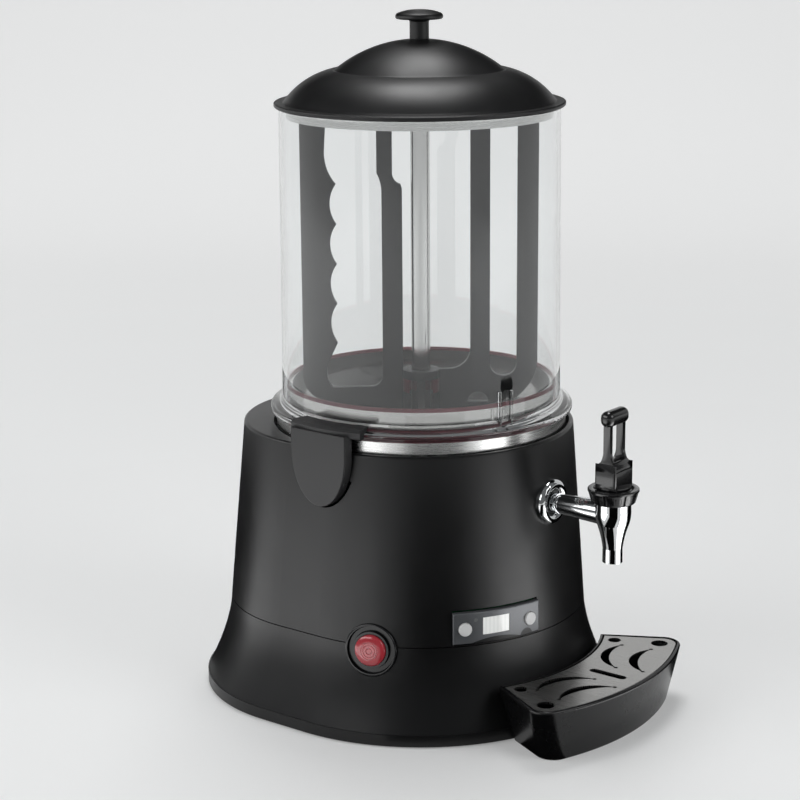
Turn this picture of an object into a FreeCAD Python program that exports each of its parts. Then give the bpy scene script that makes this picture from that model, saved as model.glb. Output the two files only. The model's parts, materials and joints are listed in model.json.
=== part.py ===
import FreeCAD, Part
import os
from math import asin, cos, pi, radians, sin, sqrt, tan

V = FreeCAD.Vector

# Hot chocolate dispenser: heated base, clear bowl, stirrer, lid, tap and drip tray.
# Millimetres. X to the right, Y to the back, Z up. While it is built, the stirrer's axis is x = 0, y = 0.
# The tap and the tray are at the front, towards -Y. The last lines move all to the frame's origin.

# Base shell
BASE_HALF_WIDTH_TOP = 112.0
BASE_HALF_WIDTH_SEAM = 121.6
BASE_HALF_WIDTH_FOOT = 140.0
BASE_BACK_TOP = 127.5
BASE_BACK_SEAM = 140.0
BASE_BACK_FOOT = 158.5
BACK_CORNER_TOP = 95.0
BACK_CORNER_SEAM = 102.0
BACK_CORNER_FOOT = 118.0
DECK_Z = 204.0
SEAM_Z = 67.6
SEAM_GAP = 0.7
BAND_Z = 9.5
SKIRT_BOTTOM_Z = 1.2
FLARE_POWER = 1.6
BAND_STEP = 0.9
SHELL_WALL = 3.0
DECK_ROUND = 2.0

# Fits
CLEAR = 0.3
RUNNING = 0.06
SNUG = 0.05
SHEET = 1.2

# Bowl, pan and lid levels
PAN_FLOOR_Z = 206.5
PAN_FLANGE_Z = 213.3
PAN_RIM_Z = 233.5
BOWL_BOTTOM_Z = 213.6
BOWL_TOP_Z = 434.0
BOWL_R_FOOT = 102.0
BOWL_R_TOP = 101.0
BOWL_WALL = 2.8
BOWL_FLANGE_R = 111.0
FLARE_TOP_Z = 224.0
FLARE_BOTTOM_Z = 218.2
PAN_R = 94.6
PAN_CORNER = 20.0
WELL_R = 109.0
WELL_FLOOR_Z = 196.0
TRIM_R = 106.6

# Stirrer
TUBE_R = 7.0
TUBE_TOP_Z = 417.4
SHAFT_R = 4.0
STIRRER_TURN = -52.7
BLADE_R = 86.6
BLADE_T = 5.0
BLADE_TOP_Z = 430.0
HUB_R = 13.6

# Tap
TAP_Y = -168.0
TAP_STEM_Z = 159.3

# Tray
TRAY_TOP_Z = 40.6
TRAY_R_OUT = 195.2
TRAY_R_IN = BASE_HALF_WIDTH_FOOT - 5.8
TRAY_HALF_ANGLE = 29.4
TRAY_DRAFT = 8.8
TRAY_DRAFT_ANGLE = 3.8
TRAY_CORNER = 13.0

parts = {}


# Small builders
def tube(r_out, r_in, z0, z1, x=0.0, y=0.0):
    body = Part.makeCylinder(r_out, z1 - z0, V(x, y, z0))
    if r_in:
        body = body.cut(Part.makeCylinder(r_in, z1 - z0 + 2, V(x, y, z0 - 1)))
    return body


def rod(r, p, q):
    p, q = V(*p), V(*q)
    return Part.makeCylinder(r, (q - p).Length, p, q - p)


def box(x0, x1, y0, y1, z0, z1):
    return Part.makeBox(x1 - x0, y1 - y0, z1 - z0, V(x0, y0, z0))


def prism(points, z0, z1):
    wire = Part.makePolygon([V(x, y, z0) for x, y in points + points[:1]])
    return Part.Face(wire).extrude(V(0, 0, z1 - z0))


def spin(steps, angle=360.0, start=0.0):
    """Solid of revolution round Z. Each step is a point (r, z) or an arc (r_mid, z_mid, r, z)."""
    edges = []
    here = V(steps[0][0], 0, steps[0][1])
    for step in steps[1:] + steps[:1]:
        there = V(step[-2], 0, step[-1])
        if len(step) == 4:
            edges.append(Part.Arc(here, V(step[0], 0, step[1]), there).toShape())
        else:
            edges.append(Part.makeLine(here, there))
        here = there
    face = Part.Face(Part.Wire(edges))
    solid = face.revolve(V(0, 0, 0), V(0, 0, 1), angle)
    solid.rotate(V(0, 0, 0), V(0, 0, 1), start)
    return solid


def hexagon(across, length):
    r = across / sqrt(3)
    return prism([(r * cos(radians(60 * i)), r * sin(radians(60 * i))) for i in range(6)], 0, length)


def radial(shape, angle, distance, z, tilt=0.0):
    """Takes a shape built along +Z to a place on the shell, facing outwards at an angle from the front."""
    shape = shape.copy()
    shape.rotate(V(0, 0, 0), V(1, 0, 0), 90)
    shape.rotate(V(0, 0, 0), V(1, 0, 0), -tilt)
    shape.translate(V(0, -distance, z))
    shape.rotate(V(0, 0, 0), V(0, 0, 1), angle)
    return shape


def edges_at(shape, z, tol=0.01):
    return [e for e in shape.Edges if all(abs(v.Z - z) < tol for v in e.Vertexes)]


def mirrored(shape):
    return shape.mirror(V(0, 0, 0), V(1, 0, 0))


# Plan shape of the base: half circle in front, straight flanks, large back corners, flat back
def mix(a, b, t):
    return a + (b - a) * t


def base_size(z):
    if z >= SEAM_Z:
        t = (DECK_Z - z) / (DECK_Z - SEAM_Z)
        return (mix(BASE_HALF_WIDTH_TOP, BASE_HALF_WIDTH_SEAM, t),
                mix(BASE_BACK_TOP, BASE_BACK_SEAM, t),
                mix(BACK_CORNER_TOP, BACK_CORNER_SEAM, t))
    t = ((SEAM_Z - max(z, BAND_Z)) / (SEAM_Z - BAND_Z)) ** FLARE_POWER
    lip = 0.0 if z > BAND_Z else BAND_STEP
    return (mix(BASE_HALF_WIDTH_SEAM, BASE_HALF_WIDTH_FOOT - BAND_STEP, t) + lip,
            mix(BASE_BACK_SEAM, BASE_BACK_FOOT - BAND_STEP, t) + lip,
            mix(BACK_CORNER_SEAM, BACK_CORNER_FOOT - BAND_STEP, t) + lip)


def base_outline(z, grow=0.0, at_z=None):
    w, b, c = [v + grow for v in base_size(z)]
    h = z if at_z is None else at_z
    k = c * (1 - cos(pi / 4))
    return Part.Wire([
        Part.Arc(V(-w, 0, h), V(0, -w, h), V(w, 0, h)).toShape(),
        Part.makeLine(V(w, 0, h), V(w, b - c, h)),
        Part.Arc(V(w, b - c, h), V(w - k, b - k, h), V(w - c, b, h)).toShape(),
        Part.makeLine(V(w - c, b, h), V(c - w, b, h)),
        Part.Arc(V(c - w, b, h), V(k - w, b - k, h), V(-w, b - c, h)).toShape(),
        Part.makeLine(V(-w, b - c, h), V(-w, 0, h)),
    ])


def base_loft(levels, grow=0.0, smooth=False):
    return Part.makeLoft([base_outline(z, grow) for z in levels], True, not smooth)


def base_slab(z0, z1, level, grow=0.0):
    return Part.Face(base_outline(level, grow, z0)).extrude(V(0, 0, z1 - z0))


def flare_levels(low, high, steps):
    return [mix(low, high, i / steps) for i in range(steps + 1)]


# Lower skirt
skirt_flare = base_loft(flare_levels(BAND_Z + 0.01, SEAM_Z, 7), 0.0, True)
skirt_outer = skirt_flare.fuse(base_slab(SKIRT_BOTTOM_Z, BAND_Z + 0.01, BAND_Z))
inner_flare = base_loft(flare_levels(BAND_Z + 0.01, SEAM_Z, 7), -SHELL_WALL, True)
inner_band = base_slab(SKIRT_BOTTOM_Z - 1, BAND_Z + 0.01, BAND_Z, -SHELL_WALL)
lower_skirt = skirt_outer.cut(inner_flare).cut(inner_band)
TONGUE_T = 2.2
TONGUE_UP = 5.0
tongue_low = base_slab(SEAM_Z - 9, SEAM_Z - 2, SEAM_Z, -SHELL_WALL + 1.2)
tongue_high = base_slab(SEAM_Z - 9, SEAM_Z + TONGUE_UP, SEAM_Z + TONGUE_UP, -SHELL_WALL - CLEAR)
tongue_hole = base_slab(SEAM_Z - 10, SEAM_Z + 6, SEAM_Z, -SHELL_WALL - TONGUE_T - 1)
lower_skirt = lower_skirt.fuse(tongue_low.fuse(tongue_high).cut(tongue_hole))

# Bosses that take the screws of the bottom plate
PLATE_Z = 4.6
PLATE_T = 1.5
BOSS_R = 5.5
BOSS_TOP_Z = 26.0
SCREW_R = 1.9
boss_angles = [38.0, 142.0, -142.0, -38.0]
boss_spots = []


def foot_reach(angle):
    """Distance from the axis to the foot's outline. Behind the axis the back corner's circle is met."""
    if abs(angle) <= 90:
        return BASE_HALF_WIDTH_FOOT
    c = BACK_CORNER_FOOT
    mid_x = BASE_HALF_WIDTH_FOOT - c
    mid_y = BASE_BACK_FOOT - c
    along = mid_x * sin(radians(abs(angle))) - mid_y * cos(radians(angle))
    return along + sqrt(along ** 2 + c ** 2 - mid_x ** 2 - mid_y ** 2)


for angle in boss_angles:
    reach = foot_reach(angle) - SHELL_WALL - 4.5
    boss_spots.append((reach * sin(radians(angle)), -reach * cos(radians(angle))))
for x, y in boss_spots:
    boss = tube(BOSS_R, 0, PLATE_Z + PLATE_T, BOSS_TOP_Z, x, y).common(skirt_outer)
    lower_skirt = lower_skirt.fuse(boss).cut(tube(SCREW_R, 0, 0, BOSS_TOP_Z - 6, x, y))

# Upper housing with its well for the pan, latch pockets, vents and panel opening
housing_outer = base_loft([SEAM_Z + SEAM_GAP, DECK_Z])
housing_solid = housing_outer
housing_outer = housing_outer.makeFillet(DECK_ROUND, edges_at(housing_outer, DECK_Z))
cavity = Part.makeLoft([base_outline(SEAM_Z, -SHELL_WALL), base_outline(DECK_Z - SHELL_WALL, -SHELL_WALL)],
                       True, True)
upper_housing = housing_outer.cut(cavity)
well_ring = tube(WELL_R + SHELL_WALL, 0, WELL_FLOOR_Z - SHELL_WALL, DECK_Z - 1).common(housing_outer)
upper_housing = upper_housing.fuse(well_ring)
JACKET_R = 92.0
upper_housing = upper_housing.cut(tube(WELL_R, 0, WELL_FLOOR_Z, DECK_Z + 5))
upper_housing = upper_housing.cut(tube(JACKET_R + 0.6, 0, WELL_FLOOR_Z - 10, DECK_Z))

LATCH_HALF = 24.5
LATCH_FACE_X = 120.0
LATCH_TOP_Z = 218.2
LATCH_BOTTOM_Z = 164.2
LATCH_PLATE = 2.2
LATCH_BACK_X = 112.1
LATCH_PIN = (115.2, 182.5)
PIN_R = 1.4
LATCH_ROUND = 39.0
POCKET_X = 111.2
POCKET_LOW_X = 106.6
POCKET_GAP = 1.8


def latch_block(grow, x0, x1, top):
    """Latch outline, straight above and half an ellipse below, drawn out from x0 to x1."""
    half = LATCH_HALF + grow
    middle = V(x0, 0, LATCH_BOTTOM_Z + LATCH_ROUND)
    oval = Part.Ellipse(middle - V(0, 0, LATCH_ROUND + grow), middle + V(0, half, 0), middle)
    low = Part.ArcOfEllipse(oval, -pi / 2, pi / 2)
    p, q = low.StartPoint, low.EndPoint
    p_top, q_top = V(x0, p.y, top), V(x0, q.y, top)
    wire = Part.Wire([low.toShape(), Part.makeLine(q, q_top), Part.makeLine(q_top, p_top),
                      Part.makeLine(p_top, p)])
    return Part.Face(wire).extrude(V(x1 - x0, 0, 0))


pocket_block = latch_block(POCKET_GAP + 3, -POCKET_X - 3, -POCKET_LOW_X + 3.5, WELL_FLOOR_Z)
pocket_block = pocket_block.common(housing_solid)
pocket_cut = latch_block(POCKET_GAP, -140, -POCKET_X, DECK_Z + 1)
pocket_low = latch_block(POCKET_GAP, -140, -POCKET_LOW_X, DECK_Z + 1)
pocket_low = pocket_low.common(box(-140, 0, -60, 60, LATCH_BOTTOM_Z - 10, LATCH_PIN[1] + 1.5))
ear_x = LATCH_PIN[0]
ear_z = LATCH_PIN[1]
EAR_R = 2.1
ear = box(-ear_x, -POCKET_LOW_X + 1, 11, 15, ear_z - EAR_R, ear_z + EAR_R)
ear = ear.fuse(rod(EAR_R, (-ear_x, 11, ear_z), (-ear_x, 15, ear_z)))
ears = ear.fuse(ear.mirror(V(0, 0, 0), V(0, 1, 0)))
ears = ears.cut(rod(PIN_R, (-ear_x, -40, ear_z), (-ear_x, 40, ear_z)))
for side in (0, 1):
    block = mirrored(pocket_block) if side else pocket_block
    cut_a = mirrored(pocket_cut) if side else pocket_cut
    cut_b = mirrored(pocket_low) if side else pocket_low
    lugs = mirrored(ears) if side else ears
    upper_housing = upper_housing.fuse(block).cut(cut_a).cut(cut_b).fuse(lugs)

VENT_COUNT = 8
VENT_PITCH = 8.0
VENT_H = 3.2
VENT_HALF = 34.0
VENT_LOW_Z = 92.0
for i in range(VENT_COUNT):
    z = VENT_LOW_Z + i * VENT_PITCH
    slot = box(-VENT_HALF, VENT_HALF, 100, 160, z, z + VENT_H)
    upper_housing = upper_housing.cut(slot)

# Posts that carry the control board
BOARD_Y = 104.0
BOARD_T = 1.6
BOARD_HALF = 46.0
BOARD_Z0 = 84.0
BOARD_Z1 = 150.0
for x in (BOARD_HALF - 5, 5 - BOARD_HALF):
    for z in (BOARD_Z0 + 5, BOARD_Z1 - 5):
        post = rod(3.0, (x, BOARD_Y + BOARD_T + SNUG, z), (x, 160, z)).common(housing_solid)
        upper_housing = upper_housing.fuse(post)

# Display panel on the front left of the housing
PANEL_A0 = -42.7
PANEL_A1 = -10.0
PANEL_Z0 = 69.0
PANEL_Z1 = 92.6
PANEL_R = 122.6
PANEL_BACK_R = 118.3
PANEL_GAP = 0.3
PANEL_TOP_GAP = 1.5


def shell_piece(r_in, r_out, a0, a1, z0, z1):
    piece = spin([(r_in, z0), (r_out, z0), (r_out, z1), (r_in, z1)], a1 - a0)
    piece.rotate(V(0, 0, 0), V(0, 0, 1), -90 + a0)
    return piece


edge = PANEL_GAP / PANEL_R * 180 / pi
upper_housing = upper_housing.cut(
    shell_piece(PANEL_BACK_R - 8, PANEL_R + 5, PANEL_A0 - edge, PANEL_A1 + edge, PANEL_Z0 - PANEL_GAP,
                PANEL_Z1 + PANEL_TOP_GAP))
display_panel = shell_piece(PANEL_BACK_R, PANEL_R, PANEL_A0, PANEL_A1, PANEL_Z0, PANEL_Z1)
display_panel = display_panel.makeFillet(0.8, [
    e for e in display_panel.Edges
    if all(abs(sqrt(v.X ** 2 + v.Y ** 2) - PANEL_R) < 0.01 for v in e.Vertexes)])
WINDOW_A0 = -32.4
WINDOW_A1 = -22.5
WINDOW_Z0 = 75.4
WINDOW_Z1 = 88.2
window_hole = shell_piece(PANEL_R - 1.4, PANEL_R + 1, WINDOW_A0, WINDOW_A1, WINDOW_Z0, WINDOW_Z1)
display_panel = display_panel.cut(window_hole)
tiny = SNUG / PANEL_R * 180 / pi
display_window = shell_piece(PANEL_R - 1.4 + SNUG, PANEL_R - 0.5, WINDOW_A0 + tiny, WINDOW_A1 - tiny,
                             WINDOW_Z0 + SNUG, WINDOW_Z1 - SNUG)
KEY_R = 4.8
KEY_Z = 80.8
KEY_ANGLES = {"minus_button": -38.6, "plus_button": -14.3}
KEY_PROUD = 1.6
KEY_DEPTH = 4.6
KEY_TRAVEL = 1.0
for name, angle in KEY_ANGLES.items():
    hole = radial(tube(KEY_R + 0.3, 0, -20, 20), angle, PANEL_R, KEY_Z)
    display_panel = display_panel.cut(hole)
    cap = tube(KEY_R, 0, -KEY_DEPTH, KEY_PROUD)
    cap = cap.makeFillet(0.7, edges_at(cap, KEY_PROUD))
    foot = tube(KEY_R + 1.4, 0, -KEY_DEPTH - 1.0, -KEY_DEPTH)
    parts[name] = radial(cap.fuse(foot), angle, PANEL_R, KEY_Z)
LED_ANGLE = -34.9
LED_Z = 87.0
LED_R = 1.3
led_hole = radial(tube(LED_R + SNUG, 0, -20, 20), LED_ANGLE, PANEL_R, LED_Z)
display_panel = display_panel.cut(led_hole)
led = tube(LED_R, 0, -9.8, -0.2)
parts["status_light"] = radial(led, LED_ANGLE, PANEL_R, LED_Z)
BOARD_DIST = 109.6
board = box(-34, 34, -7.6, 11.5, 0, 1.6)
board = radial(board, (PANEL_A0 + PANEL_A1) / 2, BOARD_DIST, (PANEL_Z0 + PANEL_Z1) / 2)
for angle in KEY_ANGLES.values():
    contact = tube(3.0, 0, -10.2, -KEY_DEPTH - 1.0 - KEY_TRAVEL - CLEAR)
    board = board.fuse(radial(contact, angle, PANEL_R, KEY_Z))
parts["display_board"] = board
parts["display_panel"] = display_panel
parts["display_window"] = display_window

# Power button in a dished ring across the seam
POWER_ANGLE = -70.0
POWER_Z = 65.2
POWER_DIST = 122.2
POWER_TILT = 5.0
BEZEL_R = 19.0
DISH_R = 16.6
LENS_R = 11.2
BEZEL_DEPTH = 9.0
BEZEL_PROUD = 1.2
SLEEVE_DEPTH = 22.0
SWITCH_R = 15.5


def power_place(shape):
    return radial(shape, POWER_ANGLE, POWER_DIST, POWER_Z, POWER_TILT)


power_hole = power_place(tube(BEZEL_R + 0.2, 0, -40, 20))
lower_skirt = lower_skirt.cut(power_hole)
upper_housing = upper_housing.cut(power_hole)
power_bezel = spin([
    (LENS_R + CLEAR, -BEZEL_DEPTH), (SWITCH_R + SNUG, -BEZEL_DEPTH), (SWITCH_R + SNUG, -SLEEVE_DEPTH),
    (BEZEL_R, -SLEEVE_DEPTH), (BEZEL_R, BEZEL_PROUD - 1.0),
    (BEZEL_R - 0.3, BEZEL_PROUD - 0.3, BEZEL_R - 1.0, BEZEL_PROUD), (BEZEL_R - 1.6, BEZEL_PROUD),
    (DISH_R, -1.6), (LENS_R + 2.6, -1.6), (LENS_R + 2.0, 1.2), (LENS_R + CLEAR, 1.2),
])
LENS_STROKE = 1.8
LENS_PROUD = 3.0
LENS_TOP = 5.2
power_button = spin([
    (0, -BEZEL_DEPTH - 2), (LENS_R, -BEZEL_DEPTH - 2), (LENS_R, LENS_PROUD),
    (LENS_R * 0.82, LENS_TOP - 0.9, LENS_R * 0.55, LENS_TOP - 0.2), (LENS_R * 0.5, LENS_TOP - 0.8),
    (0, LENS_TOP - 0.8),
])
catch = tube(LENS_R + 1.6, 0, -BEZEL_DEPTH - 2.0, -BEZEL_DEPTH - CLEAR)
power_button = power_button.fuse(catch)
parts["power_bezel"] = power_place(power_bezel)
parts["power_button"] = power_place(power_button)
SWITCH_BACK = 34.0
switch_body = tube(SWITCH_R, 0, -SWITCH_BACK, -BEZEL_DEPTH - 2.0 - LENS_STROKE - CLEAR)
parts["power_switch"] = power_place(switch_body)

# Tap hole in the housing
STEM_R = 7.0
STEM_END_R = 8.8
tap_hole = rod(STEM_R + 0.2, (0, -90, TAP_STEM_Z), (0, -140, TAP_STEM_Z))
upper_housing = upper_housing.cut(tap_hole)

# Cable gland hole at the back of the skirt
GLAND_Z = 34.0
GLAND_R = 7.0
GLAND_PAD_Y0 = 139.6
GLAND_PAD_Y1 = 153.4
GLAND_NUT_T = 5.0
GLAND_LOCK_T = 4.0
lower_skirt = lower_skirt.fuse(rod(13.0, (0, GLAND_PAD_Y0, GLAND_Z), (0, GLAND_PAD_Y1, GLAND_Z)))
lower_skirt = lower_skirt.cut(rod(GLAND_R + 0.1, (0, 100, GLAND_Z), (0, 170, GLAND_Z)))
parts["lower_skirt"] = lower_skirt
parts["upper_housing"] = upper_housing

# Bottom plate, its screws and the feet
FOOT_R = 12.0
foot_spots = [(s * 78.0, y) for s in (-1, 1) for y in (-78.0, 104.0)]
bottom_plate = base_slab(PLATE_Z, PLATE_Z + PLATE_T, BAND_Z, -SHELL_WALL - 0.5)
for x, y in boss_spots:
    bottom_plate = bottom_plate.cut(tube(2.3, 0, 0, 10, x, y))
for x, y in foot_spots:
    bottom_plate = bottom_plate.cut(tube(3.1, 0, 0, 10, x, y))
for i in range(7):
    x = (i - 3) * 12.0
    bottom_plate = bottom_plate.cut(box(x - 2, x + 2, 30, 80, 0, 10))
parts["bottom_plate"] = bottom_plate
for n, (x, y) in enumerate(boss_spots):
    head = tube(3.6, 0, PLATE_Z - 1.8, PLATE_Z, x, y)
    shank = tube(SCREW_R - SNUG, 0, PLATE_Z, BOSS_TOP_Z - 10, x, y)
    recess = tube(1.3, 0, PLATE_Z - 2, PLATE_Z - 0.8, x, y)
    parts["plate_screw_%d" % (n + 1)] = head.fuse(shank).cut(recess)
for n, (x, y) in enumerate(foot_spots):
    pad = spin([(0, 0), (FOOT_R - 1, 0), (FOOT_R, 1.0), (FOOT_R - 1.2, PLATE_Z), (3.0, PLATE_Z),
                (3.0, PLATE_Z + PLATE_T), (4.4, PLATE_Z + PLATE_T), (2.2, PLATE_Z + PLATE_T + 3),
                (0, PLATE_Z + PLATE_T + 3)])
    pad.translate(V(x, y, 0))
    parts["rubber_foot_%d" % (n + 1)] = pad

# Steel pan with folded double wall and flange
FOLD_T = 2.4
OUTLET_Y = -62.0
PIPE_R = 7.5
bend = PAN_CORNER * (1 - cos(pi / 4))
back_bend = (PAN_CORNER + SHEET) * (1 - cos(pi / 4))
inner_r = PAN_R + SHEET
steel_pan = spin([
    (TUBE_R + SNUG, PAN_FLOOR_Z), (PAN_R - PAN_CORNER, PAN_FLOOR_Z),
    (PAN_R - bend, PAN_FLOOR_Z + bend, PAN_R, PAN_FLOOR_Z + PAN_CORNER), (PAN_R, PAN_RIM_Z),
    (PAN_R + FOLD_T, PAN_RIM_Z), (PAN_R + FOLD_T, PAN_FLANGE_Z), (TRIM_R - 1.0, PAN_FLANGE_Z),
    (TRIM_R - 1.0, PAN_FLANGE_Z - SHEET), (inner_r, PAN_FLANGE_Z - SHEET),
    (inner_r, PAN_FLOOR_Z + PAN_CORNER),
    (inner_r - back_bend, PAN_FLOOR_Z + PAN_CORNER - (PAN_CORNER + SHEET) * sin(pi / 4),
     PAN_R - PAN_CORNER, PAN_FLOOR_Z - SHEET),
    (TUBE_R + SNUG, PAN_FLOOR_Z - SHEET),
])
steel_pan = steel_pan.cut(tube(PIPE_R + SNUG, 0, 190, 210, 0, OUTLET_Y))
parts["steel_pan"] = steel_pan

# Polished trim ring that carries the pan's flange
parts["trim_ring"] = spin([
    (TRIM_R - 2.0, WELL_FLOOR_Z), (TRIM_R, WELL_FLOOR_Z), (TRIM_R, PAN_FLANGE_Z - 0.6),
    (TRIM_R - 0.15, PAN_FLANGE_Z - 0.15, TRIM_R - 0.5, PAN_FLANGE_Z),
    (TRIM_R - 0.95, PAN_FLANGE_Z), (TRIM_R - 0.95, PAN_FLANGE_Z - SHEET - SNUG),
    (TRIM_R - 2.0, PAN_FLANGE_Z - SHEET - SNUG),
])

# Water jacket under the pan, with its heater, probe and outlet pipe
JACKET_Z = 176.0
jacket_top = PAN_FLANGE_Z - SHEET - SNUG
HEATER_R = 60.0
HEATER_TUBE_R = 3.6
HEATER_GAP = 32.0
HEATER_Z = 188.0
PROBE = (34.0, 34.0)
jacket = tube(JACKET_R, JACKET_R - SHEET, JACKET_Z, jacket_top)
jacket = jacket.fuse(tube(JACKET_R, 0, JACKET_Z, JACKET_Z + SHEET))
jacket = jacket.fuse(tube(TRIM_R - 2.2, JACKET_R - SHEET, jacket_top - SHEET, jacket_top))
jacket = jacket.cut(tube(TUBE_R + SNUG, 0, 170, 200))
jacket = jacket.cut(tube(PIPE_R + SNUG, 0, 170, 200, 0, OUTLET_Y))
heater_ends = [(s * HEATER_R * sin(radians(HEATER_GAP)), -HEATER_R * cos(radians(HEATER_GAP)))
               for s in (-1, 1)]
for x, y in heater_ends:
    jacket = jacket.cut(tube(HEATER_TUBE_R + SNUG, 0, 170, 200, x, y))
jacket = jacket.cut(tube(3.0 + SNUG, 0, 170, 200, *PROBE))
parts["water_jacket"] = jacket
section = [(HEATER_R + HEATER_TUBE_R * cos(radians(36 * i)), HEATER_Z + HEATER_TUBE_R * sin(radians(36 * i)))
           for i in range(10)]
coil = spin(section, 360 - 2 * HEATER_GAP)
coil.rotate(V(0, 0, 0), V(0, 0, 1), -90 + HEATER_GAP)
for x, y in heater_ends:
    coil = coil.fuse(tube(HEATER_TUBE_R, 0, JACKET_Z - 9, HEATER_Z + HEATER_TUBE_R, x, y))
parts["heating_element"] = coil
probe = tube(3.0, 0, JACKET_Z - 8, 199.0, *PROBE).fuse(tube(5.0, 0, JACKET_Z - 5, JACKET_Z, *PROBE))
parts["thermostat_probe"] = probe

PIPE_BEND = 15.0
PIPE_BORE = 6.3
PIPE_END_Y = -97.5
down = V(0, OUTLET_Y, PAN_FLOOR_Z)
corner_top = V(0, OUTLET_Y, TAP_STEM_Z + PIPE_BEND)
corner_mid = V(0, OUTLET_Y - PIPE_BEND * (1 - cos(pi / 4)), TAP_STEM_Z + PIPE_BEND * (1 - sin(pi / 4)))
corner_end = V(0, OUTLET_Y - PIPE_BEND, TAP_STEM_Z)
path = Part.Wire([
    Part.makeLine(down, corner_top),
    Part.Arc(corner_top, corner_mid, corner_end).toShape(),
    Part.makeLine(corner_end, V(0, PIPE_END_Y, TAP_STEM_Z)),
])


def swept(r):
    ring = Part.Wire(Part.makeCircle(r, down, V(0, 0, -1)))
    return path.makePipeShell([ring], True, True)


parts["outlet_pipe"] = swept(PIPE_R).cut(swept(PIPE_BORE))
UNION_ACROSS = 24.0
union = hexagon(UNION_ACROSS, 11.0).cut(tube(PIPE_R + SNUG, 0, -1, 12))
parts["outlet_union"] = radial(union, 0, -PIPE_END_Y - 5.5, TAP_STEM_Z)

# Fixed centre tube and the shaft that turns in it
MOTOR_TOP_Z = 150.0
GEARBOX_R = 31.0
GEARBOX_LOW_Z = 116.0
MOTOR_R = 25.0
MOTOR_LOW_Z = 62.0
BRACKET_T = 2.5
bracket_top = MOTOR_TOP_Z + BRACKET_T
parts["centre_tube"] = tube(TUBE_R, SHAFT_R + RUNNING, bracket_top, TUBE_TOP_Z)
SQUARE = 5.6
shaft = tube(SHAFT_R, 0, 128.0, TUBE_TOP_Z + 0.6)
square = box(-SQUARE / 2, SQUARE / 2, -SQUARE / 2, SQUARE / 2, TUBE_TOP_Z, 434.0)
square.rotate(V(0, 0, 0), V(0, 0, 1), STIRRER_TURN)
shaft = shaft.fuse(square)
parts["drive_shaft"] = shaft
gearbox = tube(GEARBOX_R, 0, GEARBOX_LOW_Z, MOTOR_TOP_Z).fuse(tube(MOTOR_R, 0, MOTOR_LOW_Z, GEARBOX_LOW_Z))
gearbox = gearbox.fuse(tube(9.0, 0, MOTOR_LOW_Z - 5, MOTOR_LOW_Z))
gearbox = gearbox.cut(tube(SHAFT_R + RUNNING, 0, 126.0, MOTOR_TOP_Z + 1))
parts["gear_motor"] = gearbox
POST_R = 4.0
POST_RING = 40.0
bracket = tube(47.0, SHAFT_R + 1.0, MOTOR_TOP_Z, bracket_top)
for angle in (30, 150, 270):
    x, y = POST_RING * cos(radians(angle)), POST_RING * sin(radians(angle)) + 4.0
    bracket = bracket.fuse(tube(POST_R, 0, bracket_top - 0.5, JACKET_Z, x, y))
parts["motor_bracket"] = bracket
board = box(-BOARD_HALF, BOARD_HALF, BOARD_Y, BOARD_Y + BOARD_T, BOARD_Z0, BOARD_Z1)
transformer = box(-38, -10, BOARD_Y - 14, BOARD_Y + 0.5, 96, 122)
relay = box(0, 14, BOARD_Y - 12, BOARD_Y + 0.5, 100, 126)
heat_sink = box(-30, 30, BOARD_Y - 8, BOARD_Y + 0.5, 134, 144)
second_relay = relay.copy()
second_relay.translate(V(20, 0, 0))
for item in (transformer, relay, second_relay, heat_sink):
    board = board.fuse(item)
parts["control_board"] = board
gland_low = GLAND_PAD_Y0 - GLAND_LOCK_T
gland = rod(GLAND_R, (0, gland_low, GLAND_Z), (0, GLAND_PAD_Y1 + GLAND_NUT_T, GLAND_Z))
gland_nut = hexagon(19.0, GLAND_NUT_T)
gland_nut.rotate(V(0, 0, 0), V(1, 0, 0), -90)
gland_nut.translate(V(0, GLAND_PAD_Y1, GLAND_Z))
gland_lock = hexagon(19.0, GLAND_LOCK_T)
gland_lock.rotate(V(0, 0, 0), V(1, 0, 0), -90)
gland_lock.translate(V(0, gland_low, GLAND_Z))
gland = gland.fuse(gland_nut).fuse(gland_lock).cut(rod(3.6, (0, 130, GLAND_Z), (0, 170, GLAND_Z)))
parts["cable_gland"] = gland

# Bowl with flared foot, and its two silicone seals
bowl_in_foot = BOWL_R_FOOT - BOWL_WALL
bowl_in_top = BOWL_R_TOP - BOWL_WALL
bowl = spin([
    (bowl_in_foot, BOWL_BOTTOM_Z), (BOWL_FLANGE_R - 0.8, BOWL_BOTTOM_Z),
    (BOWL_FLANGE_R - 0.2, BOWL_BOTTOM_Z + 0.2, BOWL_FLANGE_R, BOWL_BOTTOM_Z + 0.8),
    (BOWL_FLANGE_R, BOWL_BOTTOM_Z + 2.6),
    (BOWL_FLANGE_R - 0.4, BOWL_BOTTOM_Z + 3.8, BOWL_FLANGE_R - 1.6, FLARE_BOTTOM_Z),
    (BOWL_R_FOOT + 2.6, FLARE_BOTTOM_Z + 2.0, BOWL_R_FOOT, FLARE_TOP_Z),
    (BOWL_R_TOP, BOWL_TOP_Z - 0.8),
    (BOWL_R_TOP - 0.25, BOWL_TOP_Z - 0.25, BOWL_R_TOP - 0.8, BOWL_TOP_Z),
    (bowl_in_top, BOWL_TOP_Z),
])
RIB_ANGLES = (-20.5, -15.0)
for angle in RIB_ANGLES:
    rib = box(-0.8, 0.8, -BOWL_R_FOOT - 2.2, -BOWL_R_FOOT + 1.0, BOWL_BOTTOM_Z + 1, FLARE_TOP_Z + 20)
    rib.rotate(V(0, 0, 0), V(0, 0, 1), angle)
    bowl = bowl.fuse(rib)
parts["bowl"] = bowl
seal_in = PAN_R + FOLD_T + SNUG
seal_out = bowl_in_foot - 0.25
SEAL_LIP_Z = 235.5
SEAL_LOW_Z = 232.4
FOOT_SEAL_Z = 216.4
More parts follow.
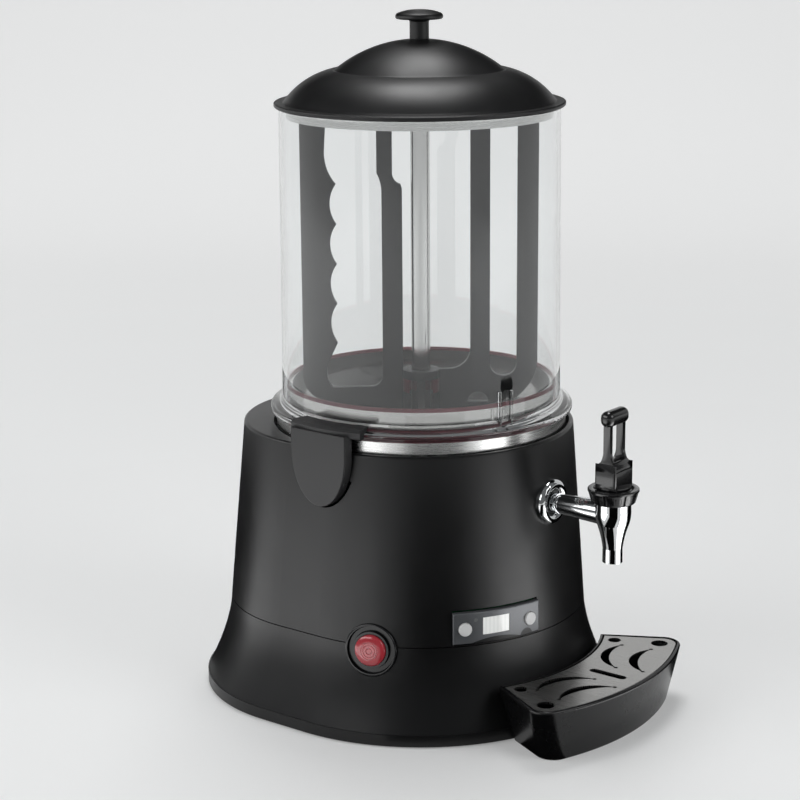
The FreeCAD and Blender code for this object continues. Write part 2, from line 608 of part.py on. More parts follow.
parts["bowl_seal"] = spin([
    (seal_in, SEAL_LOW_Z), (seal_out, SEAL_LOW_Z), (seal_out, SEAL_LIP_Z - 1.0),
    (seal_out - 0.3, SEAL_LIP_Z - 0.3, seal_out - 1.0, SEAL_LIP_Z), (PAN_R + 0.6, SEAL_LIP_Z),
    (PAN_R + 0.6, PAN_RIM_Z + SNUG), (seal_in, PAN_RIM_Z + SNUG),
])
parts["foot_seal"] = spin([
    (seal_in, PAN_FLANGE_Z + SNUG), (seal_out, PAN_FLANGE_Z + SNUG), (seal_out, FOOT_SEAL_Z),
    ((seal_in + seal_out) / 2, FOOT_SEAL_Z + 1.0, seal_in, FOOT_SEAL_Z),
])

# Stirrer: a flat moulded frame whose left blade has a wavy inner edge, on a hub round the tube
OUTER_BAR = 15.2
LEFT_BLADE = 21.0
WAVE_DEPTH = 4.6
WAVE_PITCH = 29.2
WAVE_LOW_Z = 261.0
WAVE_COUNT = 5
BAR_W = 14.6
MID_BAR_X0 = -28.0
MID_BAR_X1 = -13.2
RIGHT_BAR_X0 = 36.2
RIGHT_BAR_X1 = 50.4
CROSS_Z = 419.4
WEB_Z = 228.0


def flat(edges):
    return Part.Face(Part.Wire(edges)).extrude(V(0, BLADE_T, 0))


def chain(steps):
    """Closed outline in the XZ plane. Each step is a point (x, z) or an arc (x_mid, z_mid, x, z)."""
    edges = []
    here = V(steps[0][-2], 0, steps[0][-1])
    for step in steps[1:] + steps[:1]:
        there = V(step[-2], 0, step[-1])
        if len(step) == 4:
            edges.append(Part.Arc(here, V(step[0], 0, step[1]), there).toShape())
        else:
            edges.append(Part.makeLine(here, there))
        here = there
    return flat(edges)


SWEEP_Z = 210.2
blank = chain([
    (-BLADE_R, BLADE_TOP_Z), (-BLADE_R, 244.0), (-85.2, 229.0, -75.6, 219.0), (-52.0, 213.6, -20.0, SWEEP_Z),
    (14.0, SWEEP_Z), (46.0, 213.8, 69.0, 219.4), (80.5, 231.0, BLADE_R - 1.2, 246.0),
    (BLADE_R - 1.2, BLADE_TOP_Z),
])
wave_x = -BLADE_R + LEFT_BLADE
wavy = [(-65.4, 227.4), (-69.0, 236.0, -67.6, 247.0), (wave_x + WAVE_DEPTH, WAVE_LOW_Z)]
for i in range(WAVE_COUNT - 1):
    z = WAVE_LOW_Z + i * WAVE_PITCH
    wavy.append((wave_x, z + WAVE_PITCH / 2, wave_x + WAVE_DEPTH, z + WAVE_PITCH))
last = WAVE_LOW_Z + (WAVE_COUNT - 1) * WAVE_PITCH
wavy = wavy + [(wave_x - 2.0, last + 12.0, wave_x - 3.4, last + 25.0), (wave_x - 2.4, CROSS_Z)]
pocket = wavy + [(MID_BAR_X0 - 3.4, CROSS_Z), (MID_BAR_X0 - 3.4, 386.0),
                 (MID_BAR_X0 - 1.0, 380.0, MID_BAR_X0, 372.0), (MID_BAR_X0, 238.0),
                 (MID_BAR_X0 - 2.0, 231.0, MID_BAR_X0 - 8.0, WEB_Z)]
middle = [(MID_BAR_X1 - 7.0, CROSS_Z), (MID_BAR_X1 - 7.0, 386.0),
          (MID_BAR_X1 - 5.0, 380.0, MID_BAR_X1 - 1.0, 377.5), (MID_BAR_X1, 374.0), (MID_BAR_X1, 241.0),
          (20.0, 241.0),
          (31.0, 245.0, RIGHT_BAR_X0, 256.0), (RIGHT_BAR_X0, CROSS_Z)]
slot_mid = (RIGHT_BAR_X1 + BLADE_R - 1.2 - OUTER_BAR) / 2
right = [(RIGHT_BAR_X1, CROSS_Z), (RIGHT_BAR_X1, 246.0),
         (slot_mid, 235.6, BLADE_R - 1.2 - OUTER_BAR, 246.0), (BLADE_R - 1.2 - OUTER_BAR, CROSS_Z)]
paddle = blank
for opening in (pocket, middle, right):
    paddle = paddle.cut(chain(opening))
OVAL_X = 41.7
OVAL_R = 7.6
oval = rod(OVAL_R, (OVAL_X, -1, 216.4), (OVAL_X, BLADE_T + 1, 216.4))
paddle = paddle.cut(oval.common(box(0, 80, -2, 20, 216.4, 240)))
paddle.translate(V(0, -BLADE_T / 2, 0))
HUB_LOW_Z = 210.2
HUB_WINDOW_Z0 = 224.6
HUB_WINDOW_Z1 = 234.8
HUB_TOP_Z = 241.0
paddle = paddle.fuse(tube(HUB_R, 0, HUB_LOW_Z, HUB_WINDOW_Z0)).fuse(tube(HUB_R, 0, HUB_WINDOW_Z1, HUB_TOP_Z))
paddle = paddle.cut(tube(HUB_R, 0, HUB_WINDOW_Z0, HUB_WINDOW_Z1))
paddle = paddle.cut(tube(TUBE_R + 0.25, 0, 200, 300))
MOUTH_HALF = TUBE_R + 0.4
paddle = paddle.cut(box(-MOUTH_HALF, MOUTH_HALF, -HUB_R - 1, 0, HUB_LOW_Z - 1, HUB_WINDOW_Z0 + 0.1))
CAP_R = 12.0
paddle = paddle.fuse(tube(CAP_R, 0, TUBE_TOP_Z + 1.0, 432.0))
HALF_SQ = SQUARE / 2 + SNUG
paddle = paddle.cut(box(-HALF_SQ, HALF_SQ, -HALF_SQ, HALF_SQ, 410, 440))
paddle.rotate(V(0, 0, 0), V(0, 0, 1), STIRRER_TURN)
parts["stirrer_paddle"] = paddle
liner = tube(HUB_R - 0.2, TUBE_R + 0.45, HUB_WINDOW_Z0 + SNUG, HUB_WINDOW_Z1 - SNUG)
mouth = box(-8.6, 8.6, -40, 0, 200, 250)
liner = liner.cut(mouth)
liner.rotate(V(0, 0, 0), V(0, 0, 1), STIRRER_TURN)
parts["hub_liner"] = liner
acorn = spin([(0, 432.05), (7.5, 432.05), (7.5, 435.0), (6.0, 438.2, 2.6, 439.6), (0, 439.8)])
acorn_hole = box(-HALF_SQ, HALF_SQ, -HALF_SQ, HALF_SQ, 430, 434.1)
acorn_hole.rotate(V(0, 0, 0), V(0, 0, 1), STIRRER_TURN)
acorn = acorn.cut(acorn_hole)
parts["shaft_cap"] = acorn

# Lid, its polished skirt ring and the knob
RIM_R = 104.3
RIM_Z0 = 434.4
RIM_Z1 = 437.4
STEP_R = 60.0
STEP_Z = 460.2
DOME_TOP_Z = 481.0
LEDGE_R = 62.4
SIDE_R = 96.4
SIDE_Z = 439.0
LID_T = 2.4
RING_R = 95.6
RING_LOW_Z = 427.2
lid_shell = spin([
    (0, DOME_TOP_Z), (31.0, 476.0, STEP_R, STEP_Z), (STEP_R + 0.8, STEP_Z - 0.5), (LEDGE_R, STEP_Z - 0.3),
    (82.3, 451.9, SIDE_R, SIDE_Z), (SIDE_R + 1.6, RIM_Z1), (RIM_R - 0.9, RIM_Z1),
    (RIM_R - 0.2, RIM_Z1 - 0.3, RIM_R, RIM_Z1 - 1.0), (RIM_R, RIM_Z0 + 0.6), (RIM_R - 0.6, RIM_Z0),
    (RING_R + 0.1, RIM_Z0), (RING_R + 0.1, RIM_Z1 + 0.1), (RING_R - 2.0, RIM_Z1 + 1.5),
    (80.3, 450.0, LEDGE_R - 1.0, STEP_Z - LID_T - 0.9),
    (STEP_R - 1.0, STEP_Z - LID_T - 0.2),
    (30.0, 473.7, 0, DOME_TOP_Z - LID_T),
])
KNOB_SCREW_R = 2.5
lid_shell = lid_shell.cut(tube(KNOB_SCREW_R + 0.2, 0, DOME_TOP_Z - 11, DOME_TOP_Z + 9))
parts["lid_shell"] = lid_shell
parts["lid_ring"] = spin([
    (RING_R - SHEET, RING_LOW_Z), (RING_R, RING_LOW_Z), (RING_R, RIM_Z1),
    (RING_R - SHEET, RIM_Z1 + 0.7),
])
KNOB_R = 17.0
KNOB_STEM_H = 14.0
KNOB_H = 6.4
KNOB_LOW_Z = DOME_TOP_Z + KNOB_STEM_H
KNOB_TOP_Z = KNOB_LOW_Z + KNOB_H
KNOB_STEM_R = 6.9
lid_knob = spin([
    (0, KNOB_TOP_Z), (KNOB_R * 0.6, KNOB_TOP_Z - 0.7, KNOB_R - 1.6, KNOB_TOP_Z - 2.3),
    (KNOB_R - 0.3, KNOB_LOW_Z + 2.9, KNOB_R, KNOB_LOW_Z + 1.5),
    (KNOB_R - 0.4, KNOB_LOW_Z + 0.4, KNOB_R - 1.6, KNOB_LOW_Z), (KNOB_STEM_R + 2.2, KNOB_LOW_Z - 0.4),
    (KNOB_STEM_R + 0.5, KNOB_LOW_Z - 1.0, KNOB_STEM_R, KNOB_LOW_Z - 2.6), (KNOB_STEM_R, DOME_TOP_Z + 0.02),
    (0, DOME_TOP_Z + 0.02),
])
lid_knob = lid_knob.cut(tube(KNOB_SCREW_R, 0, DOME_TOP_Z - 11, KNOB_LOW_Z - 5.0))
parts["lid_knob"] = lid_knob
screw_head_z = DOME_TOP_Z - LID_T - 0.2
knob_screw = tube(5.0, 0, screw_head_z - 3.0, screw_head_z).fuse(
    tube(KNOB_SCREW_R - SNUG, 0, screw_head_z - 1, KNOB_LOW_Z - 6.0))
knob_screw = knob_screw.cut(box(-5, 5, -0.6, 0.6, screw_head_z - 4, screw_head_z - 1.8))
parts["knob_screw"] = knob_screw

# Latches that hook over the bowl's flange
LATCH_SIDE = 2.4
latch = latch_block(0.0, -LATCH_FACE_X, -LATCH_BACK_X, LATCH_TOP_Z)
latch = latch.makeFillet(0.9, [
    e for e in latch.Edges if all(abs(v.X + LATCH_FACE_X) < 0.01 for v in e.Vertexes)])
latch = latch.cut(latch_block(-LATCH_SIDE, -LATCH_FACE_X + LATCH_PLATE, -LATCH_BACK_X + 1,
                              LATCH_TOP_Z - LATCH_SIDE))
HOOK_FRONT_ANGLE = 16.4
HOOK_REAR_ANGLE = 13.4
HOOK_TOP_Z = 222.8
HOOK_OUT_R = 118.6
HOOK_FREE_R = BOWL_FLANGE_R + 0.8
hook = spin([
    (HOOK_FREE_R, LATCH_TOP_Z - 2.4), (HOOK_OUT_R - 1.0, LATCH_TOP_Z - 2.4), (HOOK_OUT_R, LATCH_TOP_Z - 1.4),
    (HOOK_OUT_R, HOOK_TOP_Z - 2.0), (HOOK_OUT_R - 2.0, HOOK_TOP_Z), (104.4, HOOK_TOP_Z),
    (104.0, HOOK_TOP_Z - 0.5), (107.6, LATCH_TOP_Z + 1.0), (HOOK_FREE_R, LATCH_TOP_Z + 0.6),
], HOOK_FRONT_ANGLE + HOOK_REAR_ANGLE, 180 - HOOK_REAR_ANGLE)
latch = latch.fuse(hook)
pin_hole = rod(PIN_R + 0.08, (-ear_x, -40, ear_z), (-ear_x, 40, ear_z))
latch = latch.cut(pin_hole)
parts["latch_left"] = latch
parts["latch_right"] = mirrored(latch)
pin_drop = (LATCH_BOTTOM_Z + LATCH_ROUND - ear_z) / LATCH_ROUND
pin_reach = LATCH_HALF * sqrt(1 - pin_drop ** 2) - 0.1
latch_pin = rod(PIN_R - 0.01, (-ear_x, -pin_reach, ear_z), (-ear_x, pin_reach, ear_z))
parts["latch_pin_left"] = latch_pin
parts["latch_pin_right"] = mirrored(latch_pin)

# Tap: rosette, body with stem, collar, bonnet, lever on its pin, and the plug on its seat
SPOUT_LOW_Z = 124.9
SPOUT_R = 7.1
SPOUT_BORE = 5.0
TAP_R = 12.6
CHAMBER_R = 8.5
TAP_TOP_Z = 178.0
SEAT_Z = 143.5
STEM_BORE = 5.2
ROSETTE_R = 16.6
ROSETTE_IN_R = 8.8
ROSETTE_LIP = 0.8
ROSETTE_H = 4.9
ROSETTE_HUB = 3.4
rosette = spin([
    (STEM_R + SNUG, -4.0), (ROSETTE_R, -4.0), (ROSETTE_R, ROSETTE_LIP),
    ((ROSETTE_R + ROSETTE_IN_R) / 2 + 0.6, ROSETTE_H, ROSETTE_IN_R, ROSETTE_HUB),
    (STEM_R + SNUG, ROSETTE_HUB),
])
rosette = radial(rosette, 0, BASE_HALF_WIDTH_TOP + 3.2, TAP_STEM_Z)
parts["tap_rosette"] = rosette.cut(base_loft([SEAM_Z + SEAM_GAP, DECK_Z], SNUG))
tap_solid = spin([
    (0, SPOUT_LOW_Z), (SPOUT_R, SPOUT_LOW_Z), (SPOUT_R - 0.1, 135.0),
    (SPOUT_R + 1.5, 144.0, SPOUT_R + 4.3, 153.0), (TAP_R - 0.2, 157.5, TAP_R, 163.0), (TAP_R, TAP_TOP_Z),
    (0, TAP_TOP_Z),
])
tap_solid.translate(V(0, TAP_Y, 0))
stem_thread = rod(STEM_R, (0, PIPE_END_Y - 0.8, TAP_STEM_Z), (0, -121.0, TAP_STEM_Z))
stem_cone = Part.makeCone(STEM_R, STEM_END_R, 40.0, V(0, -121.0, TAP_STEM_Z), V(0, -1, 0))
tap_bore = spin([
    (0, SPOUT_LOW_Z - 1), (SPOUT_BORE, SPOUT_LOW_Z - 1), (SPOUT_BORE, SEAT_Z),
    (CHAMBER_R, SEAT_Z + CHAMBER_R - SPOUT_BORE), (CHAMBER_R, TAP_TOP_Z + 1), (0, TAP_TOP_Z + 1),
])
tap_bore.translate(V(0, TAP_Y, 0))
tap_body = tap_solid.fuse(stem_thread).fuse(stem_cone)
tap_body = tap_body.cut(tap_bore).cut(rod(STEM_BORE, (0, -90, TAP_STEM_Z), (0, TAP_Y, TAP_STEM_Z)))
parts["tap_body"] = tap_body
tap_nut = hexagon(24.0, 5.0).cut(tube(STEM_R + SNUG, 0, -1, 6))
parts["tap_nut"] = radial(tap_nut, 0, BASE_HALF_WIDTH_TOP + 3.0 - SHELL_WALL - 6.6, TAP_STEM_Z)

COLLAR_R = 18.1
COLLAR_FOOT_R = 15.6
COLLAR_Z0 = 168.7
COLLAR_Z1 = 179.0
COLLAR_RIM = 2.4
LOBES = 8
LOBE_R = 3.2
collar = spin([
    (TAP_R + SNUG, COLLAR_Z0), (COLLAR_FOOT_R - 0.6, COLLAR_Z0), (COLLAR_FOOT_R, COLLAR_Z0 + 0.6),
    (COLLAR_R - 0.4, COLLAR_Z1 - COLLAR_RIM), (COLLAR_R, COLLAR_Z1 - COLLAR_RIM + 0.4),
    (COLLAR_R, COLLAR_Z1 - 0.6), (COLLAR_R - 0.6, COLLAR_Z1), (14.4, COLLAR_Z1),
    (TAP_R + 0.6, TAP_TOP_Z - 1.0),
    (TAP_R + SNUG, TAP_TOP_Z - 1.0),
])
lobe_out = LOBE_R - 0.9
for i in range(LOBES):
    a = radians(360 / LOBES * i + 12)
    low_r = COLLAR_FOOT_R + lobe_out
    high_r = COLLAR_R + lobe_out
    collar = collar.cut(rod(LOBE_R, (low_r * cos(a), low_r * sin(a), COLLAR_Z0 - 0.5),
                            (high_r * cos(a), high_r * sin(a), COLLAR_Z1 - COLLAR_RIM)))
collar.translate(V(0, TAP_Y, 0))
parts["tap_collar"] = collar

PIVOT_Z = 192.5
BONNET_X = 12.2
BONNET_Y = 8.6
BONNET_TOP_Z = 197.6
EAR_IN_X = 10.3
DRUM_R = 7.9
DRUM_X = 10.0
PLUG_STEM_R = 2.5
PLUG_STEM_TOP_Z = 182.4
LEVER_PIN_R = 1.6
bonnet_low = tube(12.2, 0, TAP_TOP_Z + SNUG, TAP_TOP_Z + 3.0)
bonnet_box = box(-BONNET_X, BONNET_X, -BONNET_Y, BONNET_Y, TAP_TOP_Z + 1.0, BONNET_TOP_Z)
upright = [e for e in bonnet_box.Edges
           if e.Length > 5 and abs(e.tangentAt(e.FirstParameter).z) > 0.999
           and abs(e.tangentAt(e.LastParameter).z) > 0.999]
bonnet_box = bonnet_box.makeFillet(2.4, upright)
facets = [(-11.0, TAP_TOP_Z), (-BONNET_X, TAP_TOP_Z + 6), (-BONNET_X, PIVOT_Z - 1.0),
          (-EAR_IN_X - 0.6, BONNET_TOP_Z)]
facets = facets + [(-x, z) for x, z in reversed(facets)]
facets = Part.Face(Part.makePolygon([V(x, -20, z) for x, z in facets + facets[:1]]))
bonnet = bonnet_box.common(facets.extrude(V(0, 40, 0))).fuse(bonnet_low)
bonnet = bonnet.cut(rod(DRUM_R + CLEAR, (-EAR_IN_X, 0, PIVOT_Z), (EAR_IN_X, 0, PIVOT_Z)))
bonnet = bonnet.cut(box(-EAR_IN_X, EAR_IN_X, -20, 20, PIVOT_Z, PIVOT_Z + 20))
bonnet = bonnet.cut(tube(PLUG_STEM_R + RUNNING, 0, TAP_TOP_Z - 1, PIVOT_Z))
bonnet = bonnet.cut(rod(LEVER_PIN_R, (-BONNET_X + 0.9, 0, PIVOT_Z), (20, 0, PIVOT_Z)))
bonnet.translate(V(0, TAP_Y, 0))
parts["tap_bonnet"] = bonnet
lever_pin = rod(LEVER_PIN_R - 0.01, (-BONNET_X + 1.0, TAP_Y, PIVOT_Z), (BONNET_X - 0.3, TAP_Y, PIVOT_Z))
parts["lever_pin"] = lever_pin

POST_X0 = 6.5
POST_X1 = 9.9
POST_Y = 2.7
GRIP_Z0 = 224.2
GRIP_Z1 = 235.4
GRIP_X = 13.0
GRIP_Y = 5.2
drum = rod(DRUM_R, (-DRUM_X, 0, PIVOT_Z), (DRUM_X, 0, PIVOT_Z))
drum = drum.cut(box(-3.2, 3.2, -10, 10, PIVOT_Z - 12, PIVOT_Z - 2.2))
grip = box(-GRIP_X, GRIP_X, -GRIP_Y, GRIP_Y, GRIP_Z0, GRIP_Z1)
grip = grip.makeFillet(4.7, grip.Edges)
lever = drum.fuse(grip)
for side in (-1, 1):
    x0, x1 = sorted((side * POST_X0, side * POST_X1))
    foot_y = DRUM_R * 0.86
    post = box(x0, x1, -POST_Y, POST_Y, PIVOT_Z, GRIP_Z0 + 5.0)
    wire = Part.Wire([
        Part.makeLine(V(x0, -foot_y, PIVOT_Z + 3.6), V(x0, foot_y, PIVOT_Z + 3.6)),
        Part.Arc(V(x0, foot_y, PIVOT_Z + 3.6), V(x0, POST_Y + 1.0, PIVOT_Z + 8.4),
                 V(x0, POST_Y, PIVOT_Z + 14.0)).toShape(),
        Part.makeLine(V(x0, POST_Y, PIVOT_Z + 14.0), V(x0, -POST_Y, PIVOT_Z + 14.0)),
        Part.Arc(V(x0, -POST_Y, PIVOT_Z + 14.0), V(x0, -POST_Y - 1.0, PIVOT_Z + 8.4),
                 V(x0, -foot_y, PIVOT_Z + 3.6)).toShape(),
    ])
    root = Part.Face(wire).extrude(V(x1 - x0, 0, 0))
    lever = lever.fuse(post).fuse(root)
lever = lever.cut(rod(LEVER_PIN_R + RUNNING, (-20, 0, PIVOT_Z), (20, 0, PIVOT_Z)))
lever.translate(V(0, TAP_Y, 0))
parts["tap_lever"] = lever
plug = spin([
    (0, SEAT_Z + 0.4), (SPOUT_BORE - 0.1, SEAT_Z + 0.4),
    (CHAMBER_R - 0.6, SEAT_Z + CHAMBER_R - SPOUT_BORE - 0.1),
    (CHAMBER_R - 0.6, 151.0), (PLUG_STEM_R, 153.4), (PLUG_STEM_R, PLUG_STEM_TOP_Z), (0, PLUG_STEM_TOP_Z),
])
plug.translate(V(0, TAP_Y, 0))
parts["tap_plug"] = plug

# Drip tray: a ring sector that hugs the skirt, with a steel grille in its top
TUB_FLOOR = 3.0
GRILLE_SEAT_Z = 37.0
GRILLE_T = 1.5
TRAY_ROUND = 1.8
TRAY_LIP = 2.5
TRAY_WALL = 4.0


def sector(r_in, r_out, half, corner, z):
    a = radians(half)
    shift = asin(corner / (r_out - corner))
    side_r = sqrt((r_out - corner) ** 2 - corner ** 2)

    def at(r, angle):
        return V(r * sin(angle), -r * cos(angle), z)

    edges = [Part.Arc(at(r_in, -a), at(r_in, 0), at(r_in, a)).toShape(),
             Part.makeLine(at(r_in, a), at(side_r, a))]
    middle = at(r_out - corner, a - shift)
    mid_dir = (at(side_r, a) - middle) + (at(r_out, a - shift) - middle)
    edges.append(Part.Arc(at(side_r, a), middle + mid_dir * (corner / mid_dir.Length),
                          at(r_out, a - shift)).toShape())
    edges.append(Part.Arc(at(r_out, a - shift), at(r_out, 0), at(r_out, shift - a)).toShape())
    middle = at(r_out - corner, shift - a)
    mid_dir = (at(side_r, -a) - middle) + (at(r_out, shift - a) - middle)
    edges.append(Part.Arc(at(r_out, shift - a), middle + mid_dir * (corner / mid_dir.Length),
                          at(side_r, -a)).toShape())
    edges.append(Part.makeLine(at(side_r, -a), at(r_in, -a)))
    return Part.Wire(edges)


def tray_section(inset, z):
    t = (TRAY_TOP_Z - z) / TRAY_TOP_Z
    lean = inset / (TRAY_R_OUT - 30.0) * 180 / pi
    return sector(TRAY_R_IN + TRAY_DRAFT * t + inset, TRAY_R_OUT - TRAY_DRAFT * t - inset,
                  TRAY_HALF_ANGLE - TRAY_DRAFT_ANGLE * t - lean, TRAY_CORNER - inset, z)


def tray_loft(inset, z0, z1):
    return Part.makeLoft([tray_section(inset, z0), tray_section(inset, z1)], True, True)


tub = tray_loft(0.0, 0.0, TRAY_TOP_Z)
tub = tub.makeFillet(TRAY_ROUND, edges_at(tub, TRAY_TOP_Z) + edges_at(tub, 0))
tub = tub.cut(tray_loft(TRAY_WALL, TUB_FLOOR, GRILLE_SEAT_Z + 0.1))
tub = tub.cut(tray_loft(TRAY_LIP, GRILLE_SEAT_Z, TRAY_TOP_Z + 2))
parts["drip_tray"] = tub
grille_low = GRILLE_SEAT_Z + SNUG
grille_top = TRAY_TOP_Z - 0.5
grille_h = grille_top - grille_low
grille_in = TRAY_LIP + 0.5
grille = Part.Face(tray_section(grille_in, GRILLE_SEAT_Z)).extrude(V(0, 0, grille_h))
fold = Part.Face(tray_section(grille_in + GRILLE_T, GRILLE_SEAT_Z)).extrude(V(0, 0, grille_h - GRILLE_T))
grille = grille.cut(fold)
grille.translate(V(0, 0, SNUG))
HOLE_ANGLE = 24.7
INNER_HOLE = (146.2, 4.7)
OUTER_HOLE = (179.6, 6.2)
for ring_r, hole_r in (INNER_HOLE, OUTER_HOLE):
    for side in (-1, 1):
        a = radians(side * HOLE_ANGLE)
        grille = grille.cut(tube(hole_r, 0, 30, 50, ring_r * sin(a), -ring_r * cos(a)))
CRESCENT_END_R = 1.5
CRESCENTS = (((55.4, 142.8), (14.0, 163.6), 13.2, 6.9), ((60.6, 164.8), (18.6, 183.4), 13.0, 6.2))
for (x0, y0), (x1, y1), bulge, hollow_bulge in CRESCENTS:
    for side in (-1, 1):
        p = V(side * x0, -y0, 30)
        q = V(side * x1, -y1, 30)
        along = q - p
        normal = V(-along.y, along.x, 0) * (-side / along.Length)
        centre = (p + q) * 0.5
        wire = Part.Wire([
            Part.Arc(p, centre + normal * bulge, q).toShape(),
            Part.Arc(q, centre + normal * hollow_bulge, p).toShape(),
        ])
        grille = grille.cut(Part.Face(wire).extrude(V(0, 0, 20)))
        for end in (p, q):
            grille = grille.cut(tube(CRESCENT_END_R, 0, 30, 50, end.x, end.y))
SLOT_HALF = 3.3
SLOT_Y0 = 151.0
SLOT_Y1 = 181.0
slot = box(-SLOT_HALF, SLOT_HALF, -SLOT_Y1 + SLOT_HALF, -SLOT_Y0 - SLOT_HALF, 30, 50)
slot = slot.fuse(tube(SLOT_HALF, 0, 30, 50, 0, -SLOT_Y1 + SLOT_HALF))
slot = slot.fuse(tube(SLOT_HALF, 0, 30, 50, 0, -SLOT_Y0 - SLOT_HALF))
grille = grille.cut(slot)
parts["drip_grille"] = grille

# Everything moves so that the origin is under the middle of the whole machine
AXIS_Y = (TRAY_R_OUT - BASE_BACK_FOOT) / 2
os.makedirs("parts", exist_ok=True)
for name in sorted(parts):
    shape = parts[name].removeSplitter()
    shape.translate(V(0, AXIS_Y, 0))
    solids = shape.Solids
    if len(solids) == 1:
        shape = solids[0]
    print(name, "solids", len(solids), "valid", shape.isValid(), "volume %.0f" % shape.Volume)
    shape.exportStep("parts/" + name + ".step")
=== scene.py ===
# %% [markdown]
# # A hot chocolate dispenser
# A heated base carries a clear bowl. A motor in the base turns a stirrer in the bowl, and the drink
# leaves through a lever tap at the front, over a small drip tray. The CAD solids are loaded as a
# fixed frame. This lesson gives each of them its real finish, and makes the pieces that need softer
# or finer shapes than the solids have.

# %% Load the frame
import bmesh
import bpy
import json
from math import cos, pi, radians, sin
from mathutils import Matrix, Vector


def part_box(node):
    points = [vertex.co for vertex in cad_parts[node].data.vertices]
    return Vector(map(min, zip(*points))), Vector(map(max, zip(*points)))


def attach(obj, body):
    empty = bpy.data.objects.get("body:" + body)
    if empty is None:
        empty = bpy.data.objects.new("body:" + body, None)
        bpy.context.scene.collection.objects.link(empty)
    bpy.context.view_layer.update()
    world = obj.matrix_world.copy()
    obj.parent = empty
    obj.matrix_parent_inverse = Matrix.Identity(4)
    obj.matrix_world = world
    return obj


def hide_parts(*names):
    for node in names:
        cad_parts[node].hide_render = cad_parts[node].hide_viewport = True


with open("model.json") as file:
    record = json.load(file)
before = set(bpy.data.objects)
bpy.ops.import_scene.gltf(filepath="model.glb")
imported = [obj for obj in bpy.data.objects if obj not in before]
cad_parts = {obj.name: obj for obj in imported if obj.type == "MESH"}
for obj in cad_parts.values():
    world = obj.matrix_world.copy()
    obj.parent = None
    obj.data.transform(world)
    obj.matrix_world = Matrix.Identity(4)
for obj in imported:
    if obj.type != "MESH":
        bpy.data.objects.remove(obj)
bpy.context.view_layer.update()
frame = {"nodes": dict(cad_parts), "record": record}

nodes = frame["nodes"]
axis_y = sum(corner.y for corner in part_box("centre_tube")) / 2
print(len(nodes), "solids; the stirrer's axis is at y =", round(axis_y, 4))

# %% [markdown]
# ## Colours and shader nodes
# Paint and plastic are named by sRGB hex codes, as a picture editor shows them, but Blender's
# shaders calculate in linear light. One function turns a code into linear numbers. A second one
# adds a shader node with its settings and links, so that each finish below is a short list of what
# its surface does. The last one turns a drawn mesh into an object.

# %% Helpers
def linear(code):
    """Turns an sRGB hex code such as #1b1b1c into the linear colour that a shader reads."""
    channels = [int(code[i:i + 2], 16) / 255 for i in (1, 3, 5)]
    return [c / 12.92 if c <= 0.04045 else ((c + 0.055) / 1.055) ** 2.4 for c in channels] + [1.0]


def add_node(material, kind, values=None, links=None, **settings):
    """Adds a node. Values go to its sockets, settings to its options, and links join (node, output)."""
    node = material.node_tree.nodes.new(kind)
    for option, value in settings.items():
        setattr(node, option, value)
    for socket, value in (values or {}).items():
        node.inputs[socket].default_value = value
    for socket, (source, output) in (links or {}).items():
        material.node_tree.links.new(source.outputs[output], node.inputs[socket])
    return node


def new_finish(name, **sockets):
    """Makes a material and sets its main shader's own sockets; an underscore stands for a space."""
    material = bpy.data.materials.new(name)
    material.use_nodes = True
    shader = material.node_tree.nodes["Principled BSDF"]
    for socket, value in sockets.items():
        shader.inputs[socket.replace("_", " ")].default_value = value
    return material, shader


def join(material, source, output, target, socket):
    """Links an output of one node to a socket of another."""
    material.node_tree.links.new(source.outputs[output], target.inputs[socket])


def object_from(bm, name, smooth=True):
    """Turns a finished bmesh into an object of the scene."""
    mesh = bpy.data.meshes.new(name)
    bm.to_mesh(mesh)
    bm.free()
    mesh.polygons.foreach_set("use_smooth", [smooth] * len(mesh.polygons))
    made = bpy.data.objects.new(name, mesh)
    bpy.context.scene.collection.objects.link(made)
    return made


print("linear value of mid grey #808080:", round(linear("#808080")[0], 3))

# %% [markdown]
# ## Camera
# The camera stands where the photograph's did. Its place was solved from the round edges of the
# bowl and the base, which appear as ellipses: their flatness gives the camera's height, and the way
# they shift gives its distance. It is described by how far it stands from the stirrer's axis and
# how it is turned.

# %% Camera
TURN, YAW, PITCH, ROLL = [radians(a) for a in (-52.7, -0.58, 14.14, -0.45)]
DISTANCE = 1.5513
HEIGHT = 0.6078
SENSOR_MM, LENS_MM = 36.0, 97.47
look = Vector((sin(YAW) * cos(PITCH), cos(YAW) * cos(PITCH), -sin(PITCH)))
level_right = Vector((cos(YAW), -sin(YAW), 0))
level_up = level_right.cross(look)
tilted_right = level_right * cos(ROLL) + level_up * sin(ROLL)
tilted_up = level_up * cos(ROLL) - level_right * sin(ROLL)
round_axis = Matrix.Rotation(TURN, 4, "Z")
camera_data = bpy.data.cameras.new("photo_camera")
camera_data.sensor_width = SENSOR_MM
camera_data.lens = LENS_MM
camera = bpy.data.objects.new("photo_camera", camera_data)
bpy.context.scene.collection.objects.link(camera)
facing = Matrix((tilted_right, tilted_up, -look)).transposed().to_4x4()
camera.matrix_world = (Matrix.Translation((0, axis_y, 0)) @ round_axis
                       @ Matrix.Translation((0, -DISTANCE, HEIGHT)) @ facing)
bpy.context.scene.camera = camera
print("camera at", [round(c, 3) for c in camera.matrix_world.translation])

# %% [markdown]
# ## Counter and light
# The machine stands on a white counter in soft daylight. A sheet that curves up behind it gives a
# plain pale ground. Two large soft lamps, like windows, light it: one far to the left and one to
# the front right. No mirror shows them, or the bowl would carry hard white patches. A lamp over the
# back of the lid draws its round sheen. The ground also glows a little for eyes, mirrors and clear
# pieces, but sheds no light on the machine.

